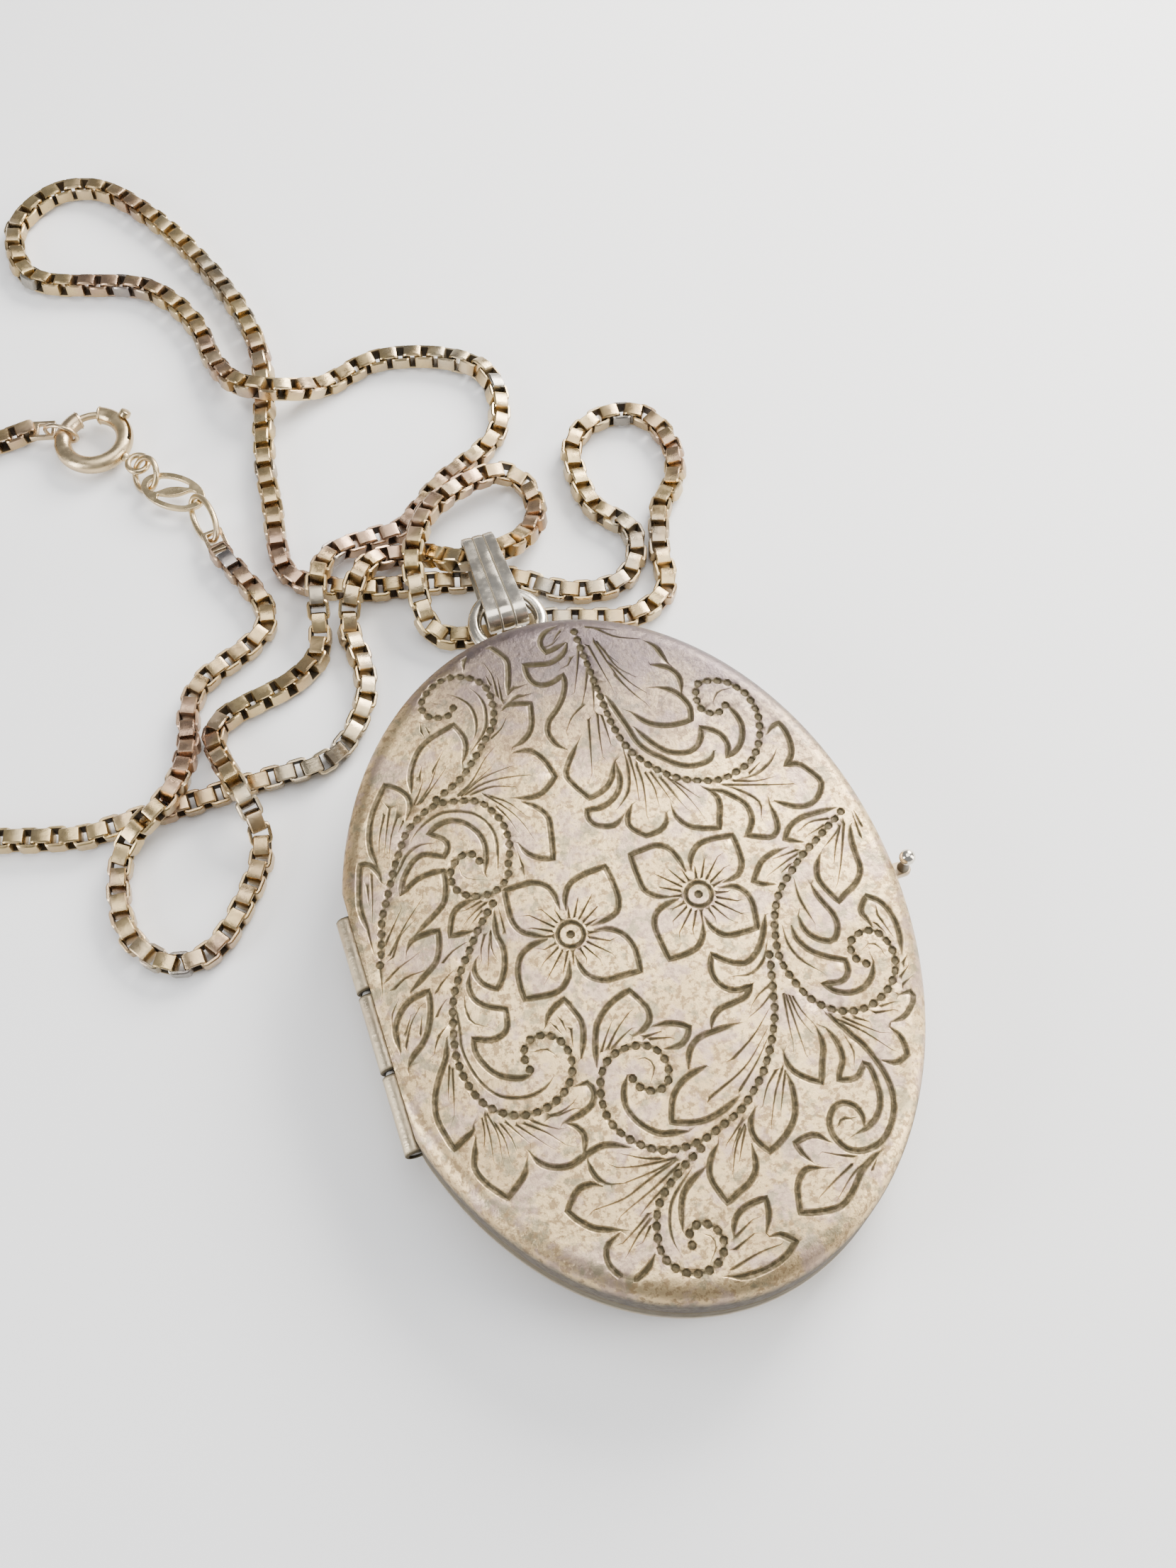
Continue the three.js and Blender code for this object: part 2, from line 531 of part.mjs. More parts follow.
function addFittings() {
  const eye = aroundClasp(EYE_AT, EYE_DISTANCE).add(CLASP_CENTRE);
  const nearHole = TAG_CENTRE.clone().addScaledVector(TAG_DIRECTION, -TAG_HOLE_OFFSET);
  const farHole = TAG_CENTRE.clone().addScaledVector(TAG_DIRECTION, TAG_HOLE_OFFSET);
  const gap = eye.distanceTo(nearHole);
  addMesh("jump_ring", ringBetween(eye, nearHole, gap / 2, RING_WIRE, 48), CHAIN_SILVER);

  const outline = new THREE.Shape().absellipse(0, 0, 2.2, 1.3, 0, 2 * Math.PI, false, 0);
  for (const x of [-TAG_HOLE_OFFSET, TAG_HOLE_OFFSET]) {
    outline.holes.push(new THREE.Path().absarc(x, 0, TAG_HOLE_RADIUS, 0, 2 * Math.PI, true));
  }
  const tag = new THREE.ExtrudeGeometry(outline, { depth: 0.3, curveSegments: 16, bevelEnabled: false });
  tag.translate(0, 0, -0.15).rotateZ(Math.atan2(TAG_DIRECTION.y, TAG_DIRECTION.x));
  addMesh("oval_tag", tag.translate(...TAG_CENTRE), CHAIN_SILVER);

  addMesh("right_end_ring", ringBetween(farHole, RIGHT_LINK, 0.9, RING_WIRE, 50), CHAIN_SILVER);
  const rightLink = endLink().rotateZ(Math.atan2(33.6 - RIGHT_LINK.y, -15.15 - RIGHT_LINK.x));
  addMesh("right_end_link", rightLink.translate(...RIGHT_LINK), CHAIN_SILVER);

  const inside = aroundClasp(LEFT_LINK_AT, LEFT_RING_SPAN[0]).add(CLASP_CENTRE);
  const outside = aroundClasp(LEFT_LINK_AT, LEFT_RING_SPAN[1]).add(CLASP_CENTRE);
  addMesh("left_end_ring", ringBetween(inside, outside, 0.77, 0.14, 90), CHAIN_SILVER);
  const leftLink = endLink().rotateZ(Math.atan2(46.95 - outside.y, -25 - outside.x));
  addMesh("left_end_link", leftLink.translate(...outside), CHAIN_SILVER);
}

// A smooth curve through the route that never dips below the height of a chain lying on the ground.
class ChainPath extends THREE.CatmullRomCurve3 {
  getPoint(t, target = new THREE.Vector3()) {
    super.getPoint(t, target);
    target.z = Math.max(target.z, CHAIN_REST_HEIGHT);
    return target;
  }
}

function addChain() {
  const points = CHAIN_ROUTE.map((point) => new THREE.Vector3(...point));
  const path = new ChainPath(points);
  path.arcLengthDivisions = 2000;
  addMesh("chain", sweep(circle(CHAIN_WIDTH / 2), path, CHAIN_STEPS, 4), CHAIN_SILVER);
}

addCase();
addSnapRim();
addPictures();
addHinge();
addThumbPiece();
addLoop();
addBail();
addClasp();
addFittings();
addChain();

export default locket;
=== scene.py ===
"""An engraved oval silver locket, lying face up on its box chain, dressed for rendering.

Lengths are in millimetres from the middle of the case unless a comment says otherwise. place() turns
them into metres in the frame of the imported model.
"""

import math

import bpy
import numpy as np
from mathutils import Matrix, Vector
from mathutils.geometry import delaunay_2d_cdt


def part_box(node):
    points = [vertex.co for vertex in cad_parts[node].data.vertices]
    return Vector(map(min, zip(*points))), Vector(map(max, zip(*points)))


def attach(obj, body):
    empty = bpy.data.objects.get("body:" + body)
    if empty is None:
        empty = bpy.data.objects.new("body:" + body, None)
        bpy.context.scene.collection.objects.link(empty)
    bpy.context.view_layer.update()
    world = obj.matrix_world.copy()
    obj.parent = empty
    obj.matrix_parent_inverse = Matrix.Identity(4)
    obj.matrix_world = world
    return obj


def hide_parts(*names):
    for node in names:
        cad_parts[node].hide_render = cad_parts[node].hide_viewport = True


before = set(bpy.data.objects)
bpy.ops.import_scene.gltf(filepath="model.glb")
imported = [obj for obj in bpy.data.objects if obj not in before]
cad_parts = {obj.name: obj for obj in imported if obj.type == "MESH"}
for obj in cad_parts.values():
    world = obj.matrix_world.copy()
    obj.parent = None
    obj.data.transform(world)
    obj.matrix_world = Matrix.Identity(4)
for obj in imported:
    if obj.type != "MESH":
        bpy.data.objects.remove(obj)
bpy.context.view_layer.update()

MM = 0.001

# ---- Driving dimensions ------------------------------------------------------------------

HALF_WIDTH = 15.0
HALF_LENGTH = 20.0
SEAM = 3.2
SEAM_GAP = 0.02
EDGE = 0.93  # share of the radius where the face rolls over
PLATE_EDGE = 0.97  # share of the radius that the engraved plate reaches
FACE_EDGE = 5.9
FACE_CROWN = 0.5
SIDE_TOP = 4.8
BACK_FLAT = 0.6
FLAT_X = -14.0
FLAT_WALL = 0.4

BARREL_X = -14.2
BARREL_Y = -0.6
BARREL_RADIUS = 0.6
BARREL_BORE = 0.41
KNUCKLE_LENGTH = 4.43
KNUCKLE_PITCH = 4.65
THUMB_X = 15.85
THUMB_Y = -0.9

LOOP_Y = 21.6
LOOP_RADIUS = 2.0
LOOP_WIRE = 0.42
BAIL_PIVOT_Y = 23.45
BAIL_FOOT_AT = -2.3
BAIL_TIP_AT = 4.9
BAIL_FOOT_HEIGHT = 1.9
BAIL_TIP_HEIGHT = 2.5
BAIL_FOOT_WIDTH = 2.5
BAIL_TIP_WIDTH = 1.95
BAIL_STRIP = 0.32
BAIL_DROOP = math.radians(8)

CHAIN_WIDTH = 1.4
CHAIN_REST = CHAIN_WIDTH / 2 + 0.02
LINK_PITCH = 0.8
LINK_LENGTH = 1.28
LINK_SIDE = 1.34  # height of a link's square, across the chain
LINK_STRIP = 0.2  # thickness of the strip it is folded from
LINK_BREADTH = 0.9  # breadth of that strip

FITTINGS_Z = 0.95
RING_WIRE = 0.2
CLASP = np.array([-20.96, 44.85, FITTINGS_Z])
CLASP_RADIUS = 2.0
CLASP_TUBE = 0.56
CLASP_BORE = 0.35
CLASP_GAP = (70, 105)
CLASP_STEPS = 96  # spans along the bent tube
CLASP_EYE_AT = -50
CLASP_EYE_DISTANCE = 3.6
TAG = np.array([-16.98, 39.15, FITTINGS_Z])
TAG_AXIS = np.array([0.76, -0.65, 0.0])
TAG_HOLE_OFFSET = 1.4
RIGHT_LINK = np.array([-15.3, 34.75, FITTINGS_Z])
LEFT_RING_AT = 148
LEFT_RING_SPAN = (1.17, 3.35)

# The chain's route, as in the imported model.
CHAIN_ROUTE = [
    (-15.15, 33.6, 0.85), (-13.6, 28.2, 0.72), (-14.7, 26.8, 0.72), (-18.5, 25, 0.72), (-19.6, 23.4, 0.72),
    (-20.1, 21.3, 0.8), (-20.9, 18.8, 1.8), (-22.4, 17, 2.2), (-24, 16.2, 1.8), (-25.4, 15.2, 0.8),
    (-26.2, 11.6, 0.72), (-25.7, 9.5, 0.72), (-24, 7.8, 0.72), (-21.9, 7.9, 0.72), (-18.4, 11.6, 0.72),
    (-17.6, 13.6, 0.9), (-17.7, 15.3, 2.1), (-18.1, 17.1, 2.25), (-18.6, 21.2, 0.72), (-17.5, 22.2, 0.72),
    (-13.2, 23.3, 0.72), (-11.4, 24.5, 0.72), (-10.7, 26.2, 1.1), (-10.4, 27.6, 2.1), (-10, 29, 2.25),
    (-8.6, 31, 1.4), (-6, 31.7, 0.72), (-4, 31.8, 0.72), (-1, 34.1, 0.72), (3.9, 37, 0.72),
    (4.9, 41.5, 0.72), (3.5, 43.6, 0.72), (-1.7, 45.4, 0.72), (-5.7, 44.4, 0.8), (-7.5, 44, 1.7),
    (-9.4, 44.3, 2.2), (-11.2, 46, 1.6), (-12.1, 49, 0.8), (-12.5, 52.2, 0.72), (-14.9, 56.4, 0.72),
    (-22.2, 59.9, 0.72), (-22.7, 64, 0.72), (-21.2, 66.1, 0.72), (-18.9, 67.1, 0.72), (-16.6, 66.7, 0.72),
    (-14.6, 64.8, 0.72), (-11.3, 58.6, 0.72), (-9, 48.9, 0.72), (-11, 39.3, 0.72), (-11.2, 36.6, 0.72),
    (-11.5, 30.8, 0.72), (-8.1, 28.5, 0.72), (-3.5, 27.4, 0.72), (-1, 26.7, 0.72), (1.6, 26.1, 0.72),
    (4.4, 24.1, 0.72), (7.4, 23.5, 0.72), (8.9, 24.3, 0.72), (9.8, 27, 0.72), (8.1, 29.7, 0.72),
    (8.4, 34.5, 0.72), (10.5, 36, 0.72), (13.3, 35.5, 0.72), (14.5, 32.7, 0.72), (13.6, 29.6, 0.72),
    (12.3, 28.3, 0.72), (11, 25.1, 0.72), (10.4, 22.2, 0.72), (8, 21, 0.72), (2.6, 22.5, 0.72),
    (0.8, 22.5, 0.72), (-4, 23.6, 0.8), (-4.4, 26.6, 2.2), (-3.8, 28.9, 2.65), (-1.5, 32.1, 2),
    (3.2, 33.7, 1.2),
    (4.4, 32.8, 0.72), (4.7, 30.8, 0.75), (3.4, 28.4, 1.6), (1.25, 27.1, 2.7), (-1.25, 27.08, 2.7),
    (-2.8, 28.8, 1.5), (-4.1, 29.7, 0.85), (-6.2, 29.6, 1.5), (-7.8, 28.1, 2.2), (-8.6, 26.7, 1.7),
    (-9, 25.8, 0.8), (-9.2, 21.3, 0.72), (-12.2, 17.7, 0.72), (-17.2, 17.4, 0.72), (-23.4, 17.3, 0.72),
    (-27.4, 17.3, 0.72), (-31.9, 18.5, 0.72), (-37.5, 20.2, 0.72), (-43, 23.2, 0.72), (-44.2, 28.4, 0.72),
    (-39.5, 30.8, 0.72), (-34.2, 31.6, 0.72), (-33.4, 36.4, 0.72), (-38.6, 38.6, 0.72), (-44.6, 40.8, 0.72),
    (-45, 47, 0.72), (-39.5, 50.6, 0.72), (-32.5, 48.9, 0.72), (-27.5, 46.9, 0.72), (-25, 46.95, 0.85),
]

# ---- Placing and building ----------------------------------------------------------------

cover_low, cover_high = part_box("front_cover")
CASE_ORIGIN = np.array([cover_high[0] - HALF_WIDTH * MM, (cover_low[1] + cover_high[1]) / 2, 0.0])


def place(points):
    """Millimetres from the middle of the case to metres in the model's frame."""
    return np.asarray(points, float) * MM + CASE_ORIGIN


def build(name, points, faces, material, body, replaces=(), sharp=35, attributes=None):
    """A mesh piece from points in millimetres, smooth but for edges sharper than the angle."""
    mesh = bpy.data.meshes.new(name)
    mesh.from_pydata(place(points).tolist(), [], [list(face) for face in faces])
    mesh.materials.append(material)
    for key, values in (attributes or {}).items():
        layer = mesh.attributes.new(key, "FLOAT", "POINT")
        layer.data.foreach_set("value", np.asarray(values, np.float32))
    mesh.shade_smooth()
    mesh.set_sharp_from_angle(angle=math.radians(sharp))
    mesh.validate()
    piece = bpy.data.objects.new(name, mesh)
    bpy.context.scene.collection.objects.link(piece)
    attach(piece, body)
    if replaces:
        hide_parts(*replaces)
    return piece


def joined(parts):
    """Several (points, faces) as one."""
    points, faces, offset = [], [], 0
    for part_points, part_faces in parts:
        points.append(np.asarray(part_points, float))
        faces += [[index + offset for index in face] for face in part_faces]
        offset += len(part_points)
    return np.concatenate(points), faces


def grid_faces(rows, columns, wrap_rows=False, wrap_columns=False):
    faces = []
    for i in range(rows if wrap_rows else rows - 1):
        for j in range(columns if wrap_columns else columns - 1):
            k, m = (i + 1) % rows, (j + 1) % columns
            faces.append([i * columns + j, i * columns + m, k * columns + m, k * columns + j])
    return faces


def unit(vectors):
    vectors = np.asarray(vectors, float)
    return vectors / np.linalg.norm(vectors, axis=-1, keepdims=True)


def directions(path, closed=False):
    if closed:
        return unit(np.roll(path, -1, 0) - np.roll(path, 1, 0))
    return unit(np.gradient(path, axis=0))


def sweep(path, section, closed=False, up=(0, 0, 1), scale=None):
    """A solid with the section [(side, up)] carried along the path, ended flat unless closed."""
    path = np.asarray(path, float)
    along = directions(path, closed)
    side = unit(np.cross(along, np.broadcast_to(np.asarray(up, float), along.shape)))
    top = np.cross(side, along)
    section = np.asarray(section, float)
    size = np.ones(len(path)) if scale is None else np.asarray(scale, float)
    points = (
        path[:, None]
        + side[:, None] * section[None, :, :1] * size[:, None, None]
        + top[:, None] * section[None, :, 1:] * size[:, None, None]
    ).reshape(-1, 3)
    rows, columns = len(path), len(section)
    faces = grid_faces(rows, columns, wrap_rows=closed, wrap_columns=True)
    if not closed:
        faces.append(list(range(columns)))
        faces.append([(rows - 1) * columns + j for j in reversed(range(columns))])
    return points, [face[::-1] for face in faces]


def round_section(radius, sides=14, flatten=1.0):
    turn = np.arange(sides) * 2 * math.pi / sides
    return np.stack([radius * np.cos(turn), radius * flatten * np.sin(turn)], 1)


def arc(centre, radius, start, end, steps):
    turn = np.radians(np.linspace(start, end, steps))
    flat = np.stack([np.cos(turn), np.sin(turn), np.zeros(steps)], 1)
    return np.asarray(centre, float) + radius * flat


def lathe(profile, segments=32):
    """A closed solid turned about Z from (radius, height) points that start and end at radius 0."""
    turn = np.arange(segments) * 2 * math.pi / segments
    rings = [(r, z) for r, z in profile if r > 0]
    points = [[r * math.cos(a), r * math.sin(a), z] for r, z in rings for a in turn]
    faces = grid_faces(len(rings), segments, wrap_columns=True)
    faces.append(list(reversed(range(segments))))
    faces.append([(len(rings) - 1) * segments + j for j in range(segments)])
    return np.array(points), faces


def catmull_rom(points, per_span=12):
    """Points on the smooth curve through the given ones, knots spaced by the root of distance."""
    points = np.asarray(points, float)
    first = 2 * points[0] - points[1]
    last = 2 * points[-1] - points[-2]
    padded = np.vstack([first, points, last])
    curve = []
    for p0, p1, p2, p3 in zip(padded, padded[1:], padded[2:], padded[3:]):
        gaps = [max(math.sqrt(np.linalg.norm(b - a)), 1e-6) for a, b in ((p0, p1), (p1, p2), (p2, p3))]
        m1 = ((p1 - p0) / gaps[0] - (p2 - p0) / (gaps[0] + gaps[1]) + (p2 - p1) / gaps[1]) * gaps[1]
        m2 = ((p2 - p1) / gaps[1] - (p3 - p1) / (gaps[1] + gaps[2]) + (p3 - p2) / gaps[2]) * gaps[1]
        for t in np.arange(per_span) / per_span:
            curve.append(
                (2 * t**3 - 3 * t**2 + 1) * p1
                + (t**3 - 2 * t**2 + t) * m1
                + (-2 * t**3 + 3 * t**2) * p2
                + (t**3 - t**2) * m2
            )
    curve.append(points[-1])
    return np.array(curve)


def spaced(curve, step):
    """The curve at even steps along its length, ends kept, and the length."""
    reach = np.concatenate([[0], np.cumsum(np.linalg.norm(np.diff(curve, axis=0), axis=1))])
    count = max(2, round(reach[-1] / step) + 1)
    marks = np.linspace(0, reach[-1], count)
    return np.stack([np.interp(marks, reach, column) for column in curve.T], 1), reach[-1]

# ---- Materials ---------------------------------------------------------------------------


class Nodes:
    """A material's node tree, with the calls that the finishes below share."""

    def __init__(self, name):
        self.material = bpy.data.materials.new(name)
        self.material.use_nodes = True
        self.tree = self.material.node_tree
        self.shader = self.tree.nodes["Principled BSDF"]
        texture = self.tree.nodes.new("ShaderNodeTexCoord")
        scale = self.tree.nodes.new("ShaderNodeVectorMath")
        scale.operation = "SCALE"
        scale.inputs["Scale"].default_value = 1 / MM
        self.link(texture.outputs["Object"], scale.inputs[0])
        self.place = scale.outputs[0]

    def link(self, source, target):
        self.tree.links.new(source, target)

    def noise(self, scale, detail=4.0, roughness=0.55, stretch=(1, 1, 1), offset=0.0):
        mapping = self.tree.nodes.new("ShaderNodeMapping")
        mapping.inputs["Scale"].default_value = stretch
        mapping.inputs["Location"].default_value = (offset, offset * 0.7, offset * 1.3)
        node = self.tree.nodes.new("ShaderNodeTexNoise")
        node.inputs["Scale"].default_value = scale
        node.inputs["Detail"].default_value = detail
        node.inputs["Roughness"].default_value = roughness
        self.link(self.place, mapping.inputs["Vector"])
        self.link(mapping.outputs["Vector"], node.inputs["Vector"])
        return node.outputs["Fac"]

    def ramp(self, value, low, high, out_low=0.0, out_high=1.0):
        node = self.tree.nodes.new("ShaderNodeMapRange")
        node.interpolation_type = "SMOOTHSTEP"
        for key, number in (("From Min", low), ("From Max", high), ("To Min", out_low), ("To Max", out_high)):
            node.inputs[key].default_value = number
        self.link(value, node.inputs["Value"])
        return node.outputs["Result"]

    def math(self, operation, a, b):
        node = self.tree.nodes.new("ShaderNodeMath")
        node.operation = operation
        for socket, value in zip(node.inputs, (a, b)):
            if isinstance(value, (int, float)):
                socket.default_value = value
            else:
                self.link(value, socket)
        return node.outputs[0]

    def mix(self, factor, a, b):
        node = self.tree.nodes.new("ShaderNodeMix")
        node.data_type = "RGBA"
        for socket, value in ((node.inputs["Factor"], factor), (node.inputs["A"], a), (node.inputs["B"], b)):
            if isinstance(value, tuple):
                socket.default_value = (*value, 1)
            elif isinstance(value, (int, float)):
                socket.default_value = value
            else:
                self.link(value, socket)
        return node.outputs["Result"]

    def axis(self, name):
        node = self.tree.nodes.new("ShaderNodeSeparateXYZ")
        self.link(self.place, node.inputs[0])
        return node.outputs[name]

    def attribute(self, name):
        node = self.tree.nodes.new("ShaderNodeAttribute")
        node.attribute_name = name
        return node.outputs["Fac"]

    def bump(self, height, strength, distance=0.05 * MM):
        node = self.tree.nodes.new("ShaderNodeBump")
        node.inputs["Strength"].default_value = strength
        node.inputs["Distance"].default_value = distance
        self.link(height, node.inputs["Height"])
        if self.shader.inputs["Normal"].is_linked:
            self.link(self.shader.inputs["Normal"].links[0].from_socket, node.inputs["Normal"])
        self.link(node.outputs["Normal"], self.shader.inputs["Normal"])

    def set(self, **values):
        for key, value in values.items():
            socket = self.shader.inputs[key.replace("_", " ")]
            if isinstance(value, tuple):
                socket.default_value = (*value, 1)
            elif isinstance(value, (int, float)):
                socket.default_value = value
            else:
                self.link(value, socket)


# Tarnish in the cuts and grooves, and also the colour of painted shade and painted dark reflections.
TARNISH_AND_SHADE = (0.06, 0.045, 0.018)


def silver(name, bright, warm, roughness=0.3, spots=0.35, grain=0.4):
    """Worn silver: a warm cast in patches, small dull spots and hair scratches."""
    nodes = Nodes(name)
    patches = nodes.ramp(nodes.noise(0.22, 3), 0.35, 0.68)
    colour = nodes.mix(patches, bright, warm)
    speckle = nodes.ramp(nodes.noise(2.3, 7, 0.65, offset=11), 0.5, 0.78, 0, spots)
    colour = nodes.mix(speckle, colour, (0.3, 0.25, 0.17))
    # The attribute read here paints shade and dark reflections on some pieces, and marks tarnish in grooves
    # on others.
    shade_and_tarnish = nodes.attribute("shade_and_tarnish")
    colour = nodes.mix(shade_and_tarnish, colour, TARNISH_AND_SHADE)
    scratches = nodes.noise(1.6, 3, 0.6, stretch=(0.35, 6, 3), offset=5)
    rough = nodes.ramp(nodes.noise(1.1, 5, offset=3), 0.3, 0.75, roughness - 0.07, roughness + 0.13)
    rough = nodes.math("ADD", rough, nodes.math("MULTIPLY", speckle, 0.25))
    rough = nodes.math("ADD", rough, nodes.math("MULTIPLY", shade_and_tarnish, 0.4))
    nodes.set(Base_Color=colour, Roughness=rough, Metallic=nodes.ramp(shade_and_tarnish, 0, 1, 1.0, 0.15))
    nodes.bump(scratches, grain * 0.35)
    nodes.bump(nodes.noise(3.5, 6, 0.6, offset=7), grain)
    return nodes


def chain_silver():
    """The chain's silver: gold and rose casts that drift along it, each link a little its own."""
    nodes = silver("chain_silver", (0.56, 0.42, 0.21), (0.42, 0.29, 0.15), 0.28, 0.55, 0.3)
    plain = nodes.shader.inputs["Base Color"].links[0].from_socket
    drift = nodes.noise(0.11, 3, offset=17)
    colour = nodes.mix(nodes.ramp(drift, 0.53, 0.63, 0, 0.6), plain, (0.34, 0.21, 0.17))
    colour = nodes.mix(nodes.ramp(drift, 0.34, 0.44, 0.5, 0), colour, (0.3, 0.29, 0.26))
    tint = nodes.attribute("tint")
    colour = nodes.mix(nodes.ramp(tint, 0.9, 1.0, 0, 0.7), colour, (0.2, 0.22, 0.24))
    colour = nodes.mix(nodes.ramp(tint, 0.2, 0.0, 0, 0.5), colour, (0.68, 0.55, 0.34))
    # Darker inside each link: painted shade between the links, with some tarnish.
    colour = nodes.mix(nodes.attribute("shade_and_tarnish"), colour, (0.05, 0.036, 0.02))
    nodes.set(Base_Color=colour)
    return nodes.material


def engraved_silver():
    """The front's silver: tarnish in the cuts, a grey violet painted dark reflection over the top and a
    painted dark reflection on the side.
    """
    nodes = Nodes("engraved_silver")
    cloud = nodes.noise(0.16, 4, offset=2)
    mottle = nodes.noise(2.6, 7, 0.68, offset=9)
    colour = nodes.mix(nodes.ramp(cloud, 0.36, 0.66), (0.72, 0.53, 0.28), (0.56, 0.40, 0.21))
    colour = nodes.mix(nodes.ramp(mottle, 0.48, 0.58, 0, 0.85), colour, (0.28, 0.19, 0.10))
    rose = nodes.ramp(nodes.noise(0.45, 5, 0.6, offset=21), 0.5, 0.6, 0, 0.6)
    colour = nodes.mix(rose, colour, (0.47, 0.34, 0.29))
    olive = nodes.ramp(nodes.noise(0.9, 6, 0.65, offset=41), 0.53, 0.63, 0, 0.7)
    colour = nodes.mix(olive, colour, (0.27, 0.24, 0.15))
    # Painted dark reflection: the face turns grey violet and darker towards the top, with a cloudy edge.
    height = nodes.math("ADD", nodes.axis("Y"), nodes.math("MULTIPLY", nodes.axis("X"), 0.55))
    height = nodes.math("ADD", height, nodes.math("MULTIPLY", cloud, 10.0))
    dark_top_reflection = nodes.ramp(height, 9.0, 19.0, 0, 0.92)
    colour = nodes.mix(dark_top_reflection, colour, (0.125, 0.10, 0.105))
    cut = nodes.attribute("cut")
    in_cut = nodes.ramp(cut, 0.0, 0.42)
    uneven = nodes.ramp(nodes.noise(3, 5, offset=4), 0.2, 0.6, 0.72, 1.0)
    dirt = nodes.math("MULTIPLY", in_cut, uneven)
    colour = nodes.mix(dirt, colour, TARNISH_AND_SHADE)
    # Painted dark reflection on the side wall and on the lower roll at the foot of the case.
    side = nodes.attribute("side")
    colour = nodes.mix(nodes.math("MULTIPLY", side, 0.92), colour, (0.04, 0.032, 0.024))
    rough = nodes.ramp(mottle, 0.3, 0.7, 0.3, 0.5)
    rough = nodes.math("ADD", rough, nodes.math("MULTIPLY", dirt, 0.22))
    rough = nodes.math("ADD", rough, nodes.math("MULTIPLY", side, 0.35))
    metal = nodes.math("MULTIPLY", nodes.ramp(dirt, 0, 1, 1.0, 0.5), nodes.ramp(side, 0, 1, 1.0, 0.1))
    nodes.set(Base_Color=colour, Roughness=rough, Metallic=metal)
    nodes.bump(nodes.noise(0.9, 3, 0.5, stretch=(1, 0.25, 1), offset=31), 0.3)
    nodes.bump(nodes.noise(2.6, 7, 0.66, offset=7), 0.8)
    return nodes.material


def clear_pane():
    nodes = Nodes("clear_pane")
    nodes.set(Base_Color=(0.96, 0.97, 0.96), Roughness=nodes.ramp(nodes.noise(0.7), 0.3, 0.7, 0.04, 0.12))
    nodes.set(Transmission_Weight=1.0, IOR=1.47)
    return nodes.material


def card():
    nodes = Nodes("picture_card")
    fibre = nodes.noise(4, 5, 0.7)
    nodes.set(Base_Color=nodes.mix(fibre, (0.86, 0.82, 0.73), (0.74, 0.69, 0.58)), Roughness=0.85)
    nodes.bump(fibre, 0.2)
    return nodes.material


ENGRAVED = engraved_silver()
PLAIN = silver("plain_silver", (0.56, 0.46, 0.31), (0.45, 0.34, 0.22), 0.34, 0.6, 0.5).material
BRIGHT = silver("bright_silver", (0.74, 0.68, 0.57), (0.62, 0.55, 0.44), 0.2, 0.15, 0.1).material
LINKS = chain_silver()
STEEL = silver("spring_steel", (0.35, 0.34, 0.32), (0.28, 0.27, 0.25), 0.35, 0.1, 0.1).material
PANE = clear_pane()
CARD = card()

# ---- The engraving, in millimetres from the middle of the case ---------------------------
# A point given twice is a sharp corner.

